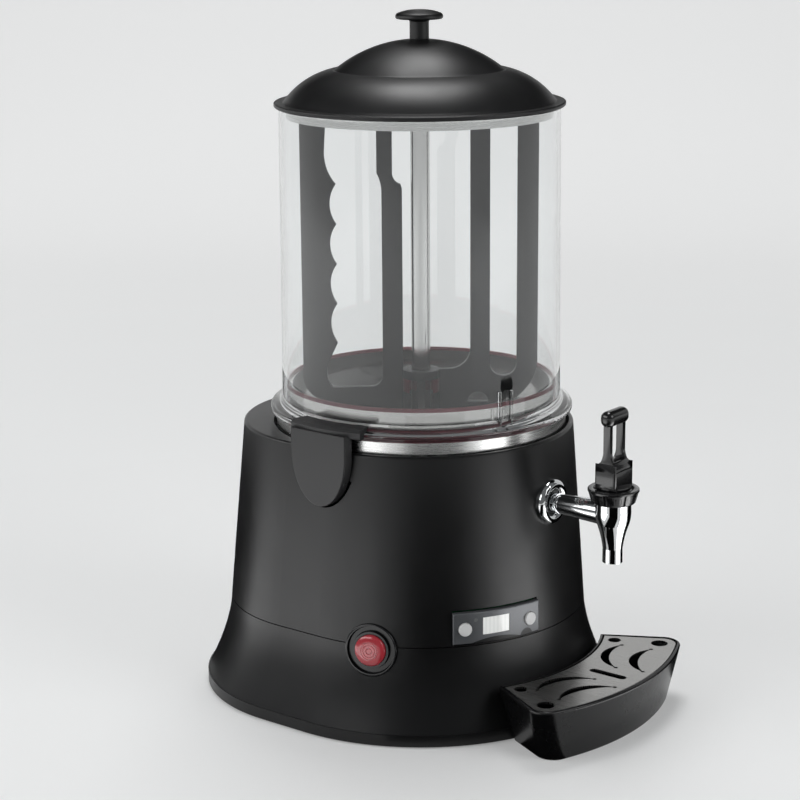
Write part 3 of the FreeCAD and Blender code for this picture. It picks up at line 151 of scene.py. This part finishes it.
# %% Counter that curves up into the backdrop
def sweep_ground():
    """Extrudes one line across the ground: flat under the machine, then curving up behind it."""
    half_width, front, back, rise, bend, steps = 9.0, -9.0, 1.7, 6.0, 1.4, 16
    bm = bmesh.new()
    verts = [bm.verts.new((-half_width, front, 0)), bm.verts.new((half_width, front, 0))]
    edge = bm.edges.new(verts)
    path = [(back, 0.0)]
    path += [(back + bend * sin(pi / 2 * i / steps), bend - bend * cos(pi / 2 * i / steps))
             for i in range(1, steps + 1)]
    path.append((back + bend, rise))
    here = Vector((0, front, 0))
    for y, z in path:
        made = bmesh.ops.extrude_edge_only(bm, edges=[edge])["geom"]
        moved = [v for v in made if isinstance(v, bmesh.types.BMVert)]
        bmesh.ops.translate(bm, verts=moved, vec=Vector((0, y, z)) - here)
        here = Vector((0, y, z))
        edge = [e for e in made if isinstance(e, bmesh.types.BMEdge)][0]
    bmesh.ops.recalc_face_normals(bm, faces=bm.faces[:])
    bmesh.ops.transform(bm, matrix=round_axis, verts=bm.verts[:])
    return object_from(bm, "ground")


FLOOR_GLOW, BACKDROP_GLOW = 0.22, 0.50
GLOW_FROM, GLOW_TO = 0.5, 2.4  # m from the axis, where the glow starts and stops to grow
ground = sweep_ground()
quartz, quartz_shader = new_finish("honed white quartz counter", Roughness=0.6, Specular_IOR_Level=0.0,
                                   Emission_Color=linear("#ffffff"))
place = add_node(quartz, "ShaderNodeTexCoord")
grain = add_node(quartz, "ShaderNodeTexNoise", {"Scale": 900.0, "Detail": 3.0},
                 {"Vector": (place, "Object")})
tone = add_node(quartz, "ShaderNodeMix", {"A": linear("#cfd0d0"), "B": linear("#d4d5d5")},
                {"Factor": (grain, "Fac")}, data_type="RGBA")
join(quartz, tone, "Result", quartz_shader, "Base Color")
ray = add_node(quartz, "ShaderNodeLightPath")
mirrored = add_node(quartz, "ShaderNodeMath", None,
                    {0: (ray, "Is Glossy Ray"), 1: (ray, "Is Transmission Ray")}, operation="MAXIMUM")
seen = add_node(quartz, "ShaderNodeMath", None, {0: (ray, "Is Camera Ray"), 1: (mirrored, "Value")},
                operation="MAXIMUM")
far = add_node(quartz, "ShaderNodeVectorMath", {1: (0, axis_y, 0)}, {0: (place, "Object")},
               operation="DISTANCE")
glow = add_node(quartz, "ShaderNodeMapRange",
                {"From Min": GLOW_FROM, "From Max": GLOW_TO,
                 "To Min": FLOOR_GLOW, "To Max": BACKDROP_GLOW},
                {"Value": (far, "Value")}, interpolation_type="SMOOTHSTEP")
paleness = add_node(quartz, "ShaderNodeMath", None, {0: (seen, "Value"), 1: (glow, "Result")},
                    operation="MULTIPLY")
join(quartz, paleness, "Value", quartz_shader, "Emission Strength")
ground.data.materials.append(quartz)
print("ground:", len(ground.data.polygons), "faces")

# %% Lamps and room
LAMP_AIM = 0.22
ROOM_STRENGTH = 0.20


def soft_lamp(name, angle, elevation, distance, size, watts, in_mirrors=False):
    """Adds an area lamp. Its angle goes round the stirrer's axis, from the camera to its right."""
    data = bpy.data.lights.new(name, "AREA")
    data.shape = "RECTANGLE"
    data.size, data.size_y = size
    data.energy = watts
    lamp = bpy.data.objects.new(name, data)
    bpy.context.scene.collection.objects.link(lamp)
    a, e = radians(angle), radians(elevation)
    away = round_axis @ Vector((sin(a) * cos(e), -cos(a) * cos(e), sin(e)))
    target = Vector((0, axis_y, LAMP_AIM))
    lamp.location = target + away * distance
    lamp.rotation_euler = away.to_track_quat("Z", "Y").to_euler()
    lamp.visible_camera = False
    lamp.visible_glossy = in_mirrors
    lamp.visible_transmission = in_mirrors
    return lamp


soft_lamp("window_left", angle=-70, elevation=25, distance=2.2, size=(2.2, 1.0), watts=22)
soft_lamp("window_right", angle=56, elevation=25, distance=2.2, size=(1.2, 1.0), watts=16)
soft_lamp("ceiling", angle=180, elevation=75, distance=1.9, size=(0.8, 0.9), watts=21, in_mirrors=True)
room = bpy.data.worlds.new("pale room")
room.use_nodes = True
room.node_tree.nodes["Background"].inputs["Color"].default_value = linear("#dfe2e4")
room.node_tree.nodes["Background"].inputs["Strength"].default_value = ROOM_STRENGTH
bpy.context.scene.world = room
bpy.context.scene.view_settings.view_transform = "Standard"

# %% [markdown]
# ## Flags and bounce cards
# Polished metal and gloss black show whatever stands round them. In a studio, black cards called
# flags give chrome its dark lines and black plastic its dark edges, and white bounce cards give the
# long upright highlights. Here they are curved sheets that only mirror-like rays can meet: they
# cast no shadow and no view shows them. The low ones lie on the counter, because the machine's
# upright walls mirror the counter before them, and the high black ones keep the sides of the lid
# dark.

# %% Flags and bounce cards
def card(name, angle_from, angle_to, profile, cloth):
    """Adds a curved card round the machine. Its profile is (radius, height) in m."""
    bm = bmesh.new()
    out = round_axis @ Vector((sin(radians(angle_from)), -cos(radians(angle_from)), 0))
    middle = Vector((0, axis_y, 0))
    verts = [bm.verts.new(middle + out * r + Vector((0, 0, z))) for r, z in profile]
    edges = [bm.edges.new(pair) for pair in zip(verts, verts[1:])]
    bmesh.ops.spin(bm, geom=verts + edges, cent=(0, axis_y, 0), axis=(0, 0, 1), dvec=(0, 0, 0),
                   angle=radians(angle_to - angle_from), steps=16, use_merge=False, use_duplicate=False)
    sheet = object_from(bm, name, smooth=False)
    sheet.data.materials.append(cloth)
    for kind in ("camera", "diffuse", "transmission", "volume_scatter", "shadow"):
        setattr(sheet, "visible_" + kind, False)
    return sheet


flag_cloth, _ = new_finish("black flag cloth", Base_Color=linear("#0a0a0a"), Roughness=1.0,
                           Specular_IOR_Level=0.0)
wide_bounce, high_bounce, narrow_bounce = [
    new_finish(kind + " bounce card", Emission_Color=linear("#ffffff"), Emission_Strength=strength)[0]
    for kind, strength in (("wide", 1.8), ("high", 2.3), ("narrow", 3.5))]
LIE = 0.0008  # how far the low cards lie above the counter, in m
low_flag = [(0.15, LIE), (0.55, LIE), (0.55, 0.12)]
high_flag = [(0.6, 0.55), (0.6, 1.3)]
floor_card = [(0.26, LIE), (0.85, LIE)]
high_card = [(0.95, 0.45), (0.95, 1.0)]
cards = [card("flag_front", -12, 32, low_flag, flag_cloth),
         card("flag_left", -176, -104, low_flag, flag_cloth),
         card("flag_right", 86, 168, low_flag, flag_cloth),
         card("flag_high_left", -178, -100, high_flag, flag_cloth),
         card("flag_high_right", 100, 178, high_flag, flag_cloth),
         card("bounce_left", -100, -28, floor_card, wide_bounce),
         card("bounce_high_left", -112, -28, high_card, high_bounce),
         card("bounce_high_right", 46, 78, high_card, high_bounce),
         card("bounce_right", 46, 78, floor_card, narrow_bounce)]
print("cards:", [sheet.name for sheet in cards])

# %% [markdown]
# ## Black mouldings
# The base is injection-moulded ABS. The mould was spark-eroded, which leaves a fine even pebble, so
# the plastic is black with wide soft highlights. Its grain is about 0.25 mm; it is drawn at 0.5 mm,
# because finer grain would vanish between the pixels. A slower noise makes the gloss vary a little,
# as handled plastic does. The same recipe with other numbers makes the tray, the lid, the latches
# and the stirrer.

# %% Moulded plastic
def moulded(name, colour, worn_colour, roughness, grain_mm, depth_mm, level=0.5):
    """Moulded plastic: grain as bump, and a slow change of tone and gloss over the surface."""
    plastic, shader = new_finish(name, Specular_IOR_Level=level)
    place = add_node(plastic, "ShaderNodeTexCoord")
    slow = add_node(plastic, "ShaderNodeTexNoise", {"Scale": 28.0, "Detail": 4.0},
                    {"Vector": (place, "Object")})
    tone = add_node(plastic, "ShaderNodeMix", {"A": linear(colour), "B": linear(worn_colour)},
                    {"Factor": (slow, "Fac")}, data_type="RGBA")
    gloss = add_node(plastic, "ShaderNodeMapRange",
                     {"From Min": 0.3, "From Max": 0.7,
                      "To Min": roughness - 0.03, "To Max": roughness + 0.04},
                     {"Value": (slow, "Fac")})
    grain = add_node(plastic, "ShaderNodeTexNoise", {"Scale": 1000.0 / grain_mm, "Detail": 2.0},
                     {"Vector": (place, "Object")})
    pebble = add_node(plastic, "ShaderNodeBump", {"Strength": 0.5, "Distance": depth_mm / 1000},
                      {"Height": (grain, "Fac")})
    join(plastic, tone, "Result", shader, "Base Color")
    join(plastic, gloss, "Result", shader, "Roughness")
    join(plastic, pebble, "Normal", shader, "Normal")
    return plastic


# Colour, worn colour, roughness, grain and its depth in mm, and specular level of each moulding.
finishes = {
    "housing_abs": moulded("spark-eroded black ABS", "#0f0f10", "#141415", 0.36, 0.5, 0.012, 0.42),
    "tray_abs": moulded("gloss black ABS", "#0c0c0d", "#101011", 0.26, 0.8, 0.006, 0.42),
    "lid_polypropylene": moulded("satin black polypropylene", "#0f0f10", "#141415", 0.40, 0.5, 0.012,
                                 0.36),
    "latch_nylon": moulded("glass-filled black nylon", "#1b1b1c", "#222223", 0.44, 0.45, 0.02, 0.42),
    "paddle_acetal": moulded("dark grey acetal", "#2e3031", "#353738", 0.42, 0.5, 0.01, 0.4),
    "switch_black": moulded("black switch ABS", "#131314", "#18181a", 0.24, 0.6, 0.005, 0.45),
    "key_silver": moulded("silver-grey key lacquer", "#eeeeed", "#e2e2e1", 0.34, 0.4, 0.004, 0.5),
    "foot_rubber": moulded("black nitrile rubber", "#1d1d1d", "#262625", 0.75, 0.4, 0.03, 0.3),
}
print("moulded:", [made.name for made in finishes.values()])

# %% [markdown]
# The tap's grip, collar and bonnet are moulded in phenolic and buffed. Their gloss is almost that
# of lacquer, so they get a clear coat over the black, with a long shallow ripple that the buffing
# leaves.

# %% Buffed black of the tap
def buffed(name, colour, roughness, coat):
    """Buffed plastic: a clear coat over black, with a long shallow ripple."""
    plastic, shader = new_finish(name, Roughness=roughness, Coat_Weight=coat, Coat_Roughness=0.05)
    place = add_node(plastic, "ShaderNodeTexCoord")
    ripple = add_node(plastic, "ShaderNodeTexNoise", {"Scale": 160.0, "Detail": 1.0},
                      {"Vector": (place, "Object")})
    tone = add_node(plastic, "ShaderNodeMix", {"A": linear(colour), "B": linear("#1a1a1b")},
                    {"Factor": (ripple, "Fac")}, data_type="RGBA")
    wave = add_node(plastic, "ShaderNodeBump", {"Strength": 0.25, "Distance": 0.0001},
                    {"Height": (ripple, "Fac")})
    join(plastic, tone, "Result", shader, "Base Color")
    join(plastic, wave, "Normal", shader, "Normal")
    return plastic


finishes["tap_plastic"] = buffed("buffed black phenolic", "#070708", 0.20, 0.3)
print(finishes["tap_plastic"].name)

# %% [markdown]
# ## Metals
# Every metal here is steel or chrome plate. What tells them apart is how they were finished. The
# pan was pressed and its rim turned, the grille was brushed in one direction, the tube was ground
# on a lathe, and the trim ring and the tap were polished. Noise stretched along the direction of
# finishing gives the fine lines: a Mapping node squeezes the coordinates across them. The lines are
# about 0.3 mm apart.

# %% Finished metal
def metal(name, colour, dull_colour, roughness, spread, line_scale, depth_mm):
    """Metal with fine lines. line_scale counts lines per metre along x, y and z."""
    plate, shader = new_finish(name, Metallic=1.0)
    place = add_node(plate, "ShaderNodeTexCoord")
    stretch = add_node(plate, "ShaderNodeMapping", {"Scale": line_scale}, {"Vector": (place, "Object")})
    lines = add_node(plate, "ShaderNodeTexNoise", {"Scale": 1.0, "Detail": 3.0},
                     {"Vector": (stretch, "Vector")})
    tone = add_node(plate, "ShaderNodeMix", {"A": linear(colour), "B": linear(dull_colour)},
                    {"Factor": (lines, "Fac")}, data_type="RGBA")
    gloss = add_node(plate, "ShaderNodeMapRange",
                     {"From Min": 0.3, "From Max": 0.7,
                      "To Min": roughness, "To Max": roughness + spread},
                     {"Value": (lines, "Fac")})
    scratch = add_node(plate, "ShaderNodeBump", {"Strength": 0.4, "Distance": depth_mm / 1000},
                       {"Height": (lines, "Fac")})
    join(plate, tone, "Result", shader, "Base Color")
    join(plate, gloss, "Result", shader, "Roughness")
    join(plate, scratch, "Normal", shader, "Normal")
    return plate


finishes["pan_stainless"] = metal("turned stainless steel", "#c9c8c6", "#b4b3b1", 0.14, 0.08,
                                  (60, 60, 3000), 0.003)
finishes["tube_stainless"] = metal("ground stainless steel", "#d6d6d5", "#c4c4c3", 0.10, 0.06,
                                   (200, 200, 3300), 0.002)
finishes["trim_polished"] = metal("polished stainless steel", "#e2e2e1", "#d8d8d7", 0.24, 0.06,
                                  (40, 40, 1500), 0.001)
finishes["tap_chrome"] = metal("bright chrome plate", "#dfe0e1", "#d3d5d6", 0.03, 0.03,
                               (90, 90, 90), 0.02)
finishes["grille_stainless"] = metal("brushed stainless steel", "#bdbcba", "#a3a2a0", 0.24, 0.12,
                                     (3300, 45, 45), 0.006)
finishes["zinc_steel"] = metal("zinc-plated steel", "#b9bdc2", "#8f949b", 0.30, 0.20,
                               (260, 260, 260), 0.01)
print("metals:", [row for row in finishes if finishes[row].name.endswith(("steel", "plate"))])

# %% [markdown]
# ## Clear bowl
# The bowl is injection-moulded polycarbonate, which bends light more than glass does: its IOR is
# 1.58. It is clear with a breath of grey. Cooling in the mould leaves slow ripples about 40 mm
# wide, and wiping leaves hair lines. Both are far too weak to see face on, but they break up the
# mirror-like reflections.

# %% Polycarbonate
bowl_clear, shader = new_finish("clear polycarbonate", Base_Color=linear("#fcfdfd"), IOR=1.58,
                                Transmission_Weight=1.0, Specular_IOR_Level=0.12)
place = add_node(bowl_clear, "ShaderNodeTexCoord")
ripple = add_node(bowl_clear, "ShaderNodeTexNoise", {"Scale": 25.0, "Detail": 1.0},
                  {"Vector": (place, "Object")})
hair = add_node(bowl_clear, "ShaderNodeTexNoise", {"Scale": 700.0, "Detail": 2.0},
                {"Vector": (place, "Object")})
haze = add_node(bowl_clear, "ShaderNodeMapRange",
                {"From Min": 0.5, "From Max": 0.8, "To Min": 0.0, "To Max": 0.05},
                {"Value": (hair, "Fac")})
wave = add_node(bowl_clear, "ShaderNodeBump", {"Strength": 0.3, "Distance": 0.0001},
                {"Height": (ripple, "Fac")})
join(bowl_clear, haze, "Result", shader, "Roughness")
join(bowl_clear, wave, "Normal", shader, "Normal")
finishes["bowl_polycarbonate"] = bowl_clear
print(bowl_clear.name)

# %% [markdown]
# ## Silicone
# The seals are dusty pink silicone and the hub's liner is a deeper red one. Silicone lets some
# light in and scatters it, which softens its edges. Part of the light goes through; the noise is
# the faint bloom of talc that keeps such seals from sticking.

# %% Silicone
def silicone(name, colour, bloom_colour, clear):
    """Silicone that lets a share of the light through, with a faint bloom on it."""
    rubber, shader = new_finish(name, Transmission_Weight=clear, IOR=1.41, Specular_IOR_Level=0.4)
    place = add_node(rubber, "ShaderNodeTexCoord")
    bloom = add_node(rubber, "ShaderNodeTexNoise", {"Scale": 300.0, "Detail": 4.0},
                     {"Vector": (place, "Object")})
    tone = add_node(rubber, "ShaderNodeMix", {"A": linear(colour), "B": linear(bloom_colour)},
                    {"Factor": (bloom, "Fac")}, data_type="RGBA")
    gloss = add_node(rubber, "ShaderNodeMapRange", {"To Min": 0.3, "To Max": 0.5},
                     {"Value": (bloom, "Fac")})
    join(rubber, tone, "Result", shader, "Base Color")
    join(rubber, gloss, "Result", shader, "Roughness")
    return rubber


finishes["seal_silicone"] = silicone("pink silicone rubber", "#a8505f", "#b76a76", 0.35)
finishes["liner_silicone"] = silicone("red silicone rubber", "#7a1f2c", "#8a2c38", 0.1)
finishes["pipe_silicone"] = silicone("milky silicone hose", "#d9d6cf", "#e4e2dc", 0.4)
print("silicones:", [finishes[s].name for s in ("seal_silicone", "liner_silicone", "pipe_silicone")])

# %% [markdown]
# ## Display panel
# The panel is a grey moulding lacquered with a fine metallic grain. A black strip along its lower edge,
# with a flat arch in the middle and a round bump below the right key, is painted shade that stands
# for the dark recess below the panel. The strip is drawn from the height, and the arch and the bump
# from the distance to their middles. The display is a liquid-crystal cell with faint upright bars;
# a faint painted glow makes it paler.

# %% Panel and display
PANEL_R = 0.1226
PANEL_LOW_Z = 0.069
PANEL_ANGLE, BUMP_ANGLE = -27.4, -15.7  # of the panel's middle and of the bump, in degrees
STRIP_H = 0.0012
BUMP_R = 0.0054
ARCH_R = 0.0597
ARCH_RISE = 0.0042


def on_panel(angle, z):
    """A point on the panel's face, from its angle round the stirrer's axis in degrees."""
    return (PANEL_R * sin(radians(angle)), axis_y - PANEL_R * cos(radians(angle)), z)


panel, shader = new_finish("grey panel lacquer", Roughness=0.3, Metallic=0.25)
place = add_node(panel, "ShaderNodeTexCoord")
height = add_node(panel, "ShaderNodeSeparateXYZ", None, {"Vector": (place, "Object")})
flake = add_node(panel, "ShaderNodeTexNoise", {"Scale": 2500.0, "Detail": 2.0},
                 {"Vector": (place, "Object")})
grey = add_node(panel, "ShaderNodeMix", {"A": linear("#56585b"), "B": linear("#66686b")},
                {"Factor": (flake, "Fac")}, data_type="RGBA")
# The black strip, its arch and its bump are painted shade: they stand for the dark recess below the
# panel.
in_shade_strip = add_node(panel, "ShaderNodeMath", {1: PANEL_LOW_Z + STRIP_H}, {0: (height, "Z")},
                    operation="LESS_THAN")
painted_recess_shade = in_shade_strip
for middle, radius in ((on_panel(BUMP_ANGLE, PANEL_LOW_Z), BUMP_R),
                       (on_panel(PANEL_ANGLE, PANEL_LOW_Z + ARCH_RISE - ARCH_R), ARCH_R)):
    away = add_node(panel, "ShaderNodeVectorMath", {1: middle}, {0: (place, "Object")},
                    operation="DISTANCE")
    inside = add_node(panel, "ShaderNodeMath", {1: radius}, {0: (away, "Value")},
                      operation="LESS_THAN")
    painted_recess_shade = add_node(panel, "ShaderNodeMath", None, {0: (painted_recess_shade, "Value"), 1: (inside, "Value")},
                       operation="MAXIMUM")
# Lays the painted recess shade in black over the grey lacquer.
tone = add_node(panel, "ShaderNodeMix", {"B": linear("#0e0e0f")},
                {"Factor": (painted_recess_shade, "Value"), "A": (grey, "Result")}, data_type="RGBA")
join(panel, tone, "Result", shader, "Base Color")
finishes["panel_gloss"] = panel

BAR_PITCH = 0.0030
WAVE_LENGTH = 0.314  # of Blender's wave texture at scale 1
# The faint emission is a painted glow that makes the cell look paler; no lamp behind it is lit.
cell, shader = new_finish("liquid-crystal cell under glass", Roughness=0.12, Coat_Weight=0.6,
                          Emission_Color=linear("#f4f5f2"), Emission_Strength=0.32)
place = add_node(cell, "ShaderNodeTexCoord")
level = add_node(cell, "ShaderNodeMapping", {"Rotation": (0, 0, radians(-PANEL_ANGLE))},
                 {"Vector": (place, "Object")})
bars = add_node(cell, "ShaderNodeTexWave", {"Scale": WAVE_LENGTH / BAR_PITCH, "Distortion": 0.0},
                {"Vector": (level, "Vector")}, bands_direction="X")
tone = add_node(cell, "ShaderNodeMix", {"A": linear("#dfe0de"), "B": linear("#d3d5d3")},
                {"Factor": (bars, "Fac")}, data_type="RGBA")
join(cell, tone, "Result", shader, "Base Color")
finishes["display_clear"] = cell
print("panel strip", STRIP_H * 1000, "mm; display bars every", BAR_PITCH * 1000, "mm")

# %% [markdown]
# The power button's lens is red polycarbonate with a lamp behind it, off in the picture: it looks
# pale pink where light comes back through it. The status light is a small frosted lens. The control
# boards are green glass-fibre laminate, whose weave shows through the lacquer.

# %% Lenses and board
def lens(name, colour, deep_colour, clear):
    """A tinted lamp lens, unevenly frosted on its inner side."""
    plastic, shader = new_finish(name, IOR=1.58, Transmission_Weight=clear, Coat_Weight=0.4)
    place = add_node(plastic, "ShaderNodeTexCoord")
    frost = add_node(plastic, "ShaderNodeTexNoise", {"Scale": 220.0, "Detail": 3.0},
                     {"Vector": (place, "Object")})
    tone = add_node(plastic, "ShaderNodeMix", {"A": linear(colour), "B": linear(deep_colour)},
                    {"Factor": (frost, "Fac")}, data_type="RGBA")
    gloss = add_node(plastic, "ShaderNodeMapRange", {"To Min": 0.10, "To Max": 0.22},
                     {"Value": (frost, "Fac")})
    join(plastic, tone, "Result", shader, "Base Color")
    join(plastic, gloss, "Result", shader, "Roughness")
    return plastic


finishes["switch_lens_red"] = lens("red lamp polycarbonate", "#cf4650", "#b82c38", 0.15)
finishes["light_lens"] = lens("frosted lamp polycarbonate", "#8f9292", "#858888", 0.2)
WEAVE = 0.0008  # size of one square of the glass cloth, in m
laminate, shader = new_finish("green glass-fibre laminate", Roughness=0.35)
place = add_node(laminate, "ShaderNodeTexCoord")
weave = add_node(laminate, "ShaderNodeTexChecker", {"Scale": 1 / WEAVE, "Color1": linear("#1d5a38"),
                 "Color2": linear("#236641")}, {"Vector": (place, "Object")})
join(laminate, weave, "Color", shader, "Base Color")
finishes["board_laminate"] = laminate
print("finishes so far:", len(finishes))

# %% Give every solid its finish
body_of = {node: body for body, held in frame["record"]["behaviour"]["bodies"].items() for node in held}
slot_of = {row["node"]: row["material_slot"] for row in frame["record"]["subparts"]}
for node, slot in slot_of.items():
    slots = nodes[node].data.materials
    slots.clear()
    slots.append(finishes[slot])
print("finished solids:", len(slot_of), "of", len(nodes))

# %% [markdown]
# ## Softer edges
# A moulded part never has a knife edge: tools wear and plastic shrinks, so its edges are rounded by
# half a millimetre or more, and light catches on them. The solids of the paddle and of the tap's
# bonnet, collar and lever have plain edges. Each is copied, its loose triangles are merged, flat
# areas become single faces, and a Bevel modifier rounds the sharp edges. Modelling them anew would
# lose their exact fit.

# %% Copies with rounded edges
MERGE = 0.000002  # points closer than this, in m, are one
FLAT_DEGREES, SHARP_DEGREES = 0.6, 38


def softened(node, width_mm, segments=3):
    """Stands in for a solid with a copy whose sharp edges are rounded."""
    bm = bmesh.new()
    bm.from_mesh(nodes[node].data)
    bmesh.ops.remove_doubles(bm, verts=bm.verts[:], dist=MERGE)
    bmesh.ops.dissolve_limit(bm, angle_limit=radians(FLAT_DEGREES), verts=bm.verts[:], edges=bm.edges[:])
    piece = object_from(bm, "soft_" + node)
    round_edges = piece.modifiers.new("rounded edges", "BEVEL")
    round_edges.width = width_mm / 1000
    round_edges.segments = segments
    round_edges.limit_method = "ANGLE"
    round_edges.angle_limit = radians(SHARP_DEGREES)
    round_edges.harden_normals = True
    piece.data.materials.append(finishes[slot_of[node]])
    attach(piece, body_of[node])
    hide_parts(node)
    return piece


soft = [softened("stirrer_paddle", 0.7), softened("tap_bonnet", 1.6, 4), softened("tap_collar", 0.35),
        softened("tap_lever", 0.6)]
print("rounded:", {piece.name: len(piece.data.polygons) for piece in soft})

# %% [markdown]
# ## Turned pieces
# A lathe function makes everything round: it draws a section as a chain of points, radius and
# height in millimetres, and spins it. The seals get soft round sections, because silicone lips are
# poured, not cut. The power button gets the fine rings that are embossed in its lens.

# %% Lathe
def lathe(name, section, node, ring=False, place=None, sharp=35, steps=160):
    """Spins a section of (radius, height) points in mm. A ring's section is closed onto itself."""
    bm = bmesh.new()
    verts = [bm.verts.new((r / 1000, 0, z / 1000)) for r, z in section]
    pairs = list(zip(verts, verts[1:])) + ([(verts[-1], verts[0])] if ring else [])
    edges = [bm.edges.new(pair) for pair in pairs]
    bmesh.ops.spin(bm, geom=verts + edges, cent=(0, 0, 0), axis=(0, 0, 1), dvec=(0, 0, 0), angle=2 * pi,
                   steps=steps, use_merge=True, use_duplicate=False)
    bmesh.ops.remove_doubles(bm, verts=bm.verts[:], dist=MERGE)
    bmesh.ops.recalc_face_normals(bm, faces=bm.faces[:])
    bmesh.ops.transform(bm, matrix=place or Matrix.Translation((0, axis_y, 0)), verts=bm.verts[:])
    piece = object_from(bm, name)
    piece.data.set_sharp_from_angle(angle=radians(sharp))
    piece.data.materials.append(finishes[slot_of[node]])
    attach(piece, body_of[node])
    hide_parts(node)
    return piece


def rounded_box(r_in, r_out, z0, z1, corner, steps=5):
    """Section of a ring with four round corners, as (radius, height) points."""
    points = []
    middles = [(r_out - corner, z0 + corner, -90), (r_out - corner, z1 - corner, 0),
               (r_in + corner, z1 - corner, 90), (r_in + corner, z0 + corner, 180)]
    for r, z, start in middles:
        for i in range(steps + 1):
            a = radians(start + 90 * i / steps)
            points.append((r + corner * cos(a), z + corner * sin(a)))
    return points


print("corner points in a rounded section:", len(rounded_box(10, 12, 0, 2, 0.5)))

# %% Seals with soft lips
SEAL_IN, SEAL_OUT, SEAL_CORNER = 97.1, 98.9, 0.85
lip = lathe("soft_bowl_seal", rounded_box(SEAL_IN, SEAL_OUT, 232.5, 235.5, SEAL_CORNER), "bowl_seal",
            ring=True)
low_lip = lathe("soft_foot_seal", rounded_box(SEAL_IN, SEAL_OUT, 213.4, 217.2, SEAL_CORNER), "foot_seal",
                ring=True)
print("seals:", lip.name, low_lip.name, len(lip.data.polygons), "faces each")

# %% [markdown]
# The rosette hides the hole where the tap enters the housing. The real one is pressed from sheet,
# so its section is one smooth round roll, and as chrome shows every facet, it is turned anew with
# fine steps.

# %% Rosette
rosette_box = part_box("tap_rosette")
rosette_tip = min(corner.y for corner in rosette_box)
rosette_z = sum(corner.z for corner in rosette_box) / len(rosette_box)
ROSETTE_OUT, ROSETTE_IN, ROLL_H, ROLL_FOOT, ROLL_ROOT = 16.6, 8.8, 4.9, 0.8, -1.5
ROLL_STEPS = 20
roll_r, roll_w = (ROSETTE_OUT + ROSETTE_IN) / 2, (ROSETTE_OUT - ROSETTE_IN) / 2
section = [(ROSETTE_OUT, ROLL_ROOT)]
for i in range(ROLL_STEPS + 1):
    a = pi * i / ROLL_STEPS
    section.append((roll_r + roll_w * cos(a), ROLL_FOOT + (ROLL_H - ROLL_FOOT) * sin(a)))
section.append((ROSETTE_IN, ROLL_ROOT))
tap_axis = (Matrix.Translation((0, rosette_tip + ROLL_H / 1000, rosette_z))
            @ Matrix.Rotation(pi / 2, 4, "X"))
roll = lathe("rolled_rosette", section, "tap_rosette", ring=True, place=tap_axis, sharp=60, steps=128)
print("rosette:", len(roll.data.polygons), "faces, tip at y =", round(rosette_tip, 4))

# %% [markdown]
# The power button is turned on its own axis, which points out of the skirt 70 degrees round from
# the front and leans back by 5. The matrix below stands the lathe's axis up in that direction.
# Three rings are pressed into the lens, 0.35 mm deep, and its edge is rounded where a finger meets
# it.

# %% Power button
POWER_ANGLE, POWER_TILT = radians(-70.0), radians(5.0)
POWER_R, POWER_Z = 0.1222, 0.0652
power_axis = (Matrix.Translation((0, axis_y, 0)) @ Matrix.Rotation(POWER_ANGLE, 4, "Z")
              @ Matrix.Translation((0, -POWER_R, POWER_Z))
              @ Matrix.Rotation(pi / 2 - POWER_TILT, 4, "X"))
RING_DEPTH = 0.35
LENS_TOP = 4.5
# From the flange at the foot of the button, up its wall and over its rounded edge.
section = [(0, -11.0), (12.8, -11.0), (12.8, -9.3), (11.2, -9.3), (11.2, 2.4), (11.05, 2.9), (10.6, 3.4),
           (9.6, 3.9), (8.4, 4.25), (7.2, LENS_TOP - 0.05)]
for ring_r in (6.1, 4.5, 2.3):
    section += [(ring_r + 0.2, LENS_TOP), (ring_r, LENS_TOP - RING_DEPTH),
                (ring_r - 0.4, LENS_TOP - RING_DEPTH), (ring_r - 0.6, LENS_TOP)]
section.append((0, LENS_TOP))
button = lathe("ringed_power_button", section, "power_button", place=power_axis, sharp=50, steps=96)
print("power button stands at", [round(c, 3) for c in power_axis.translation])
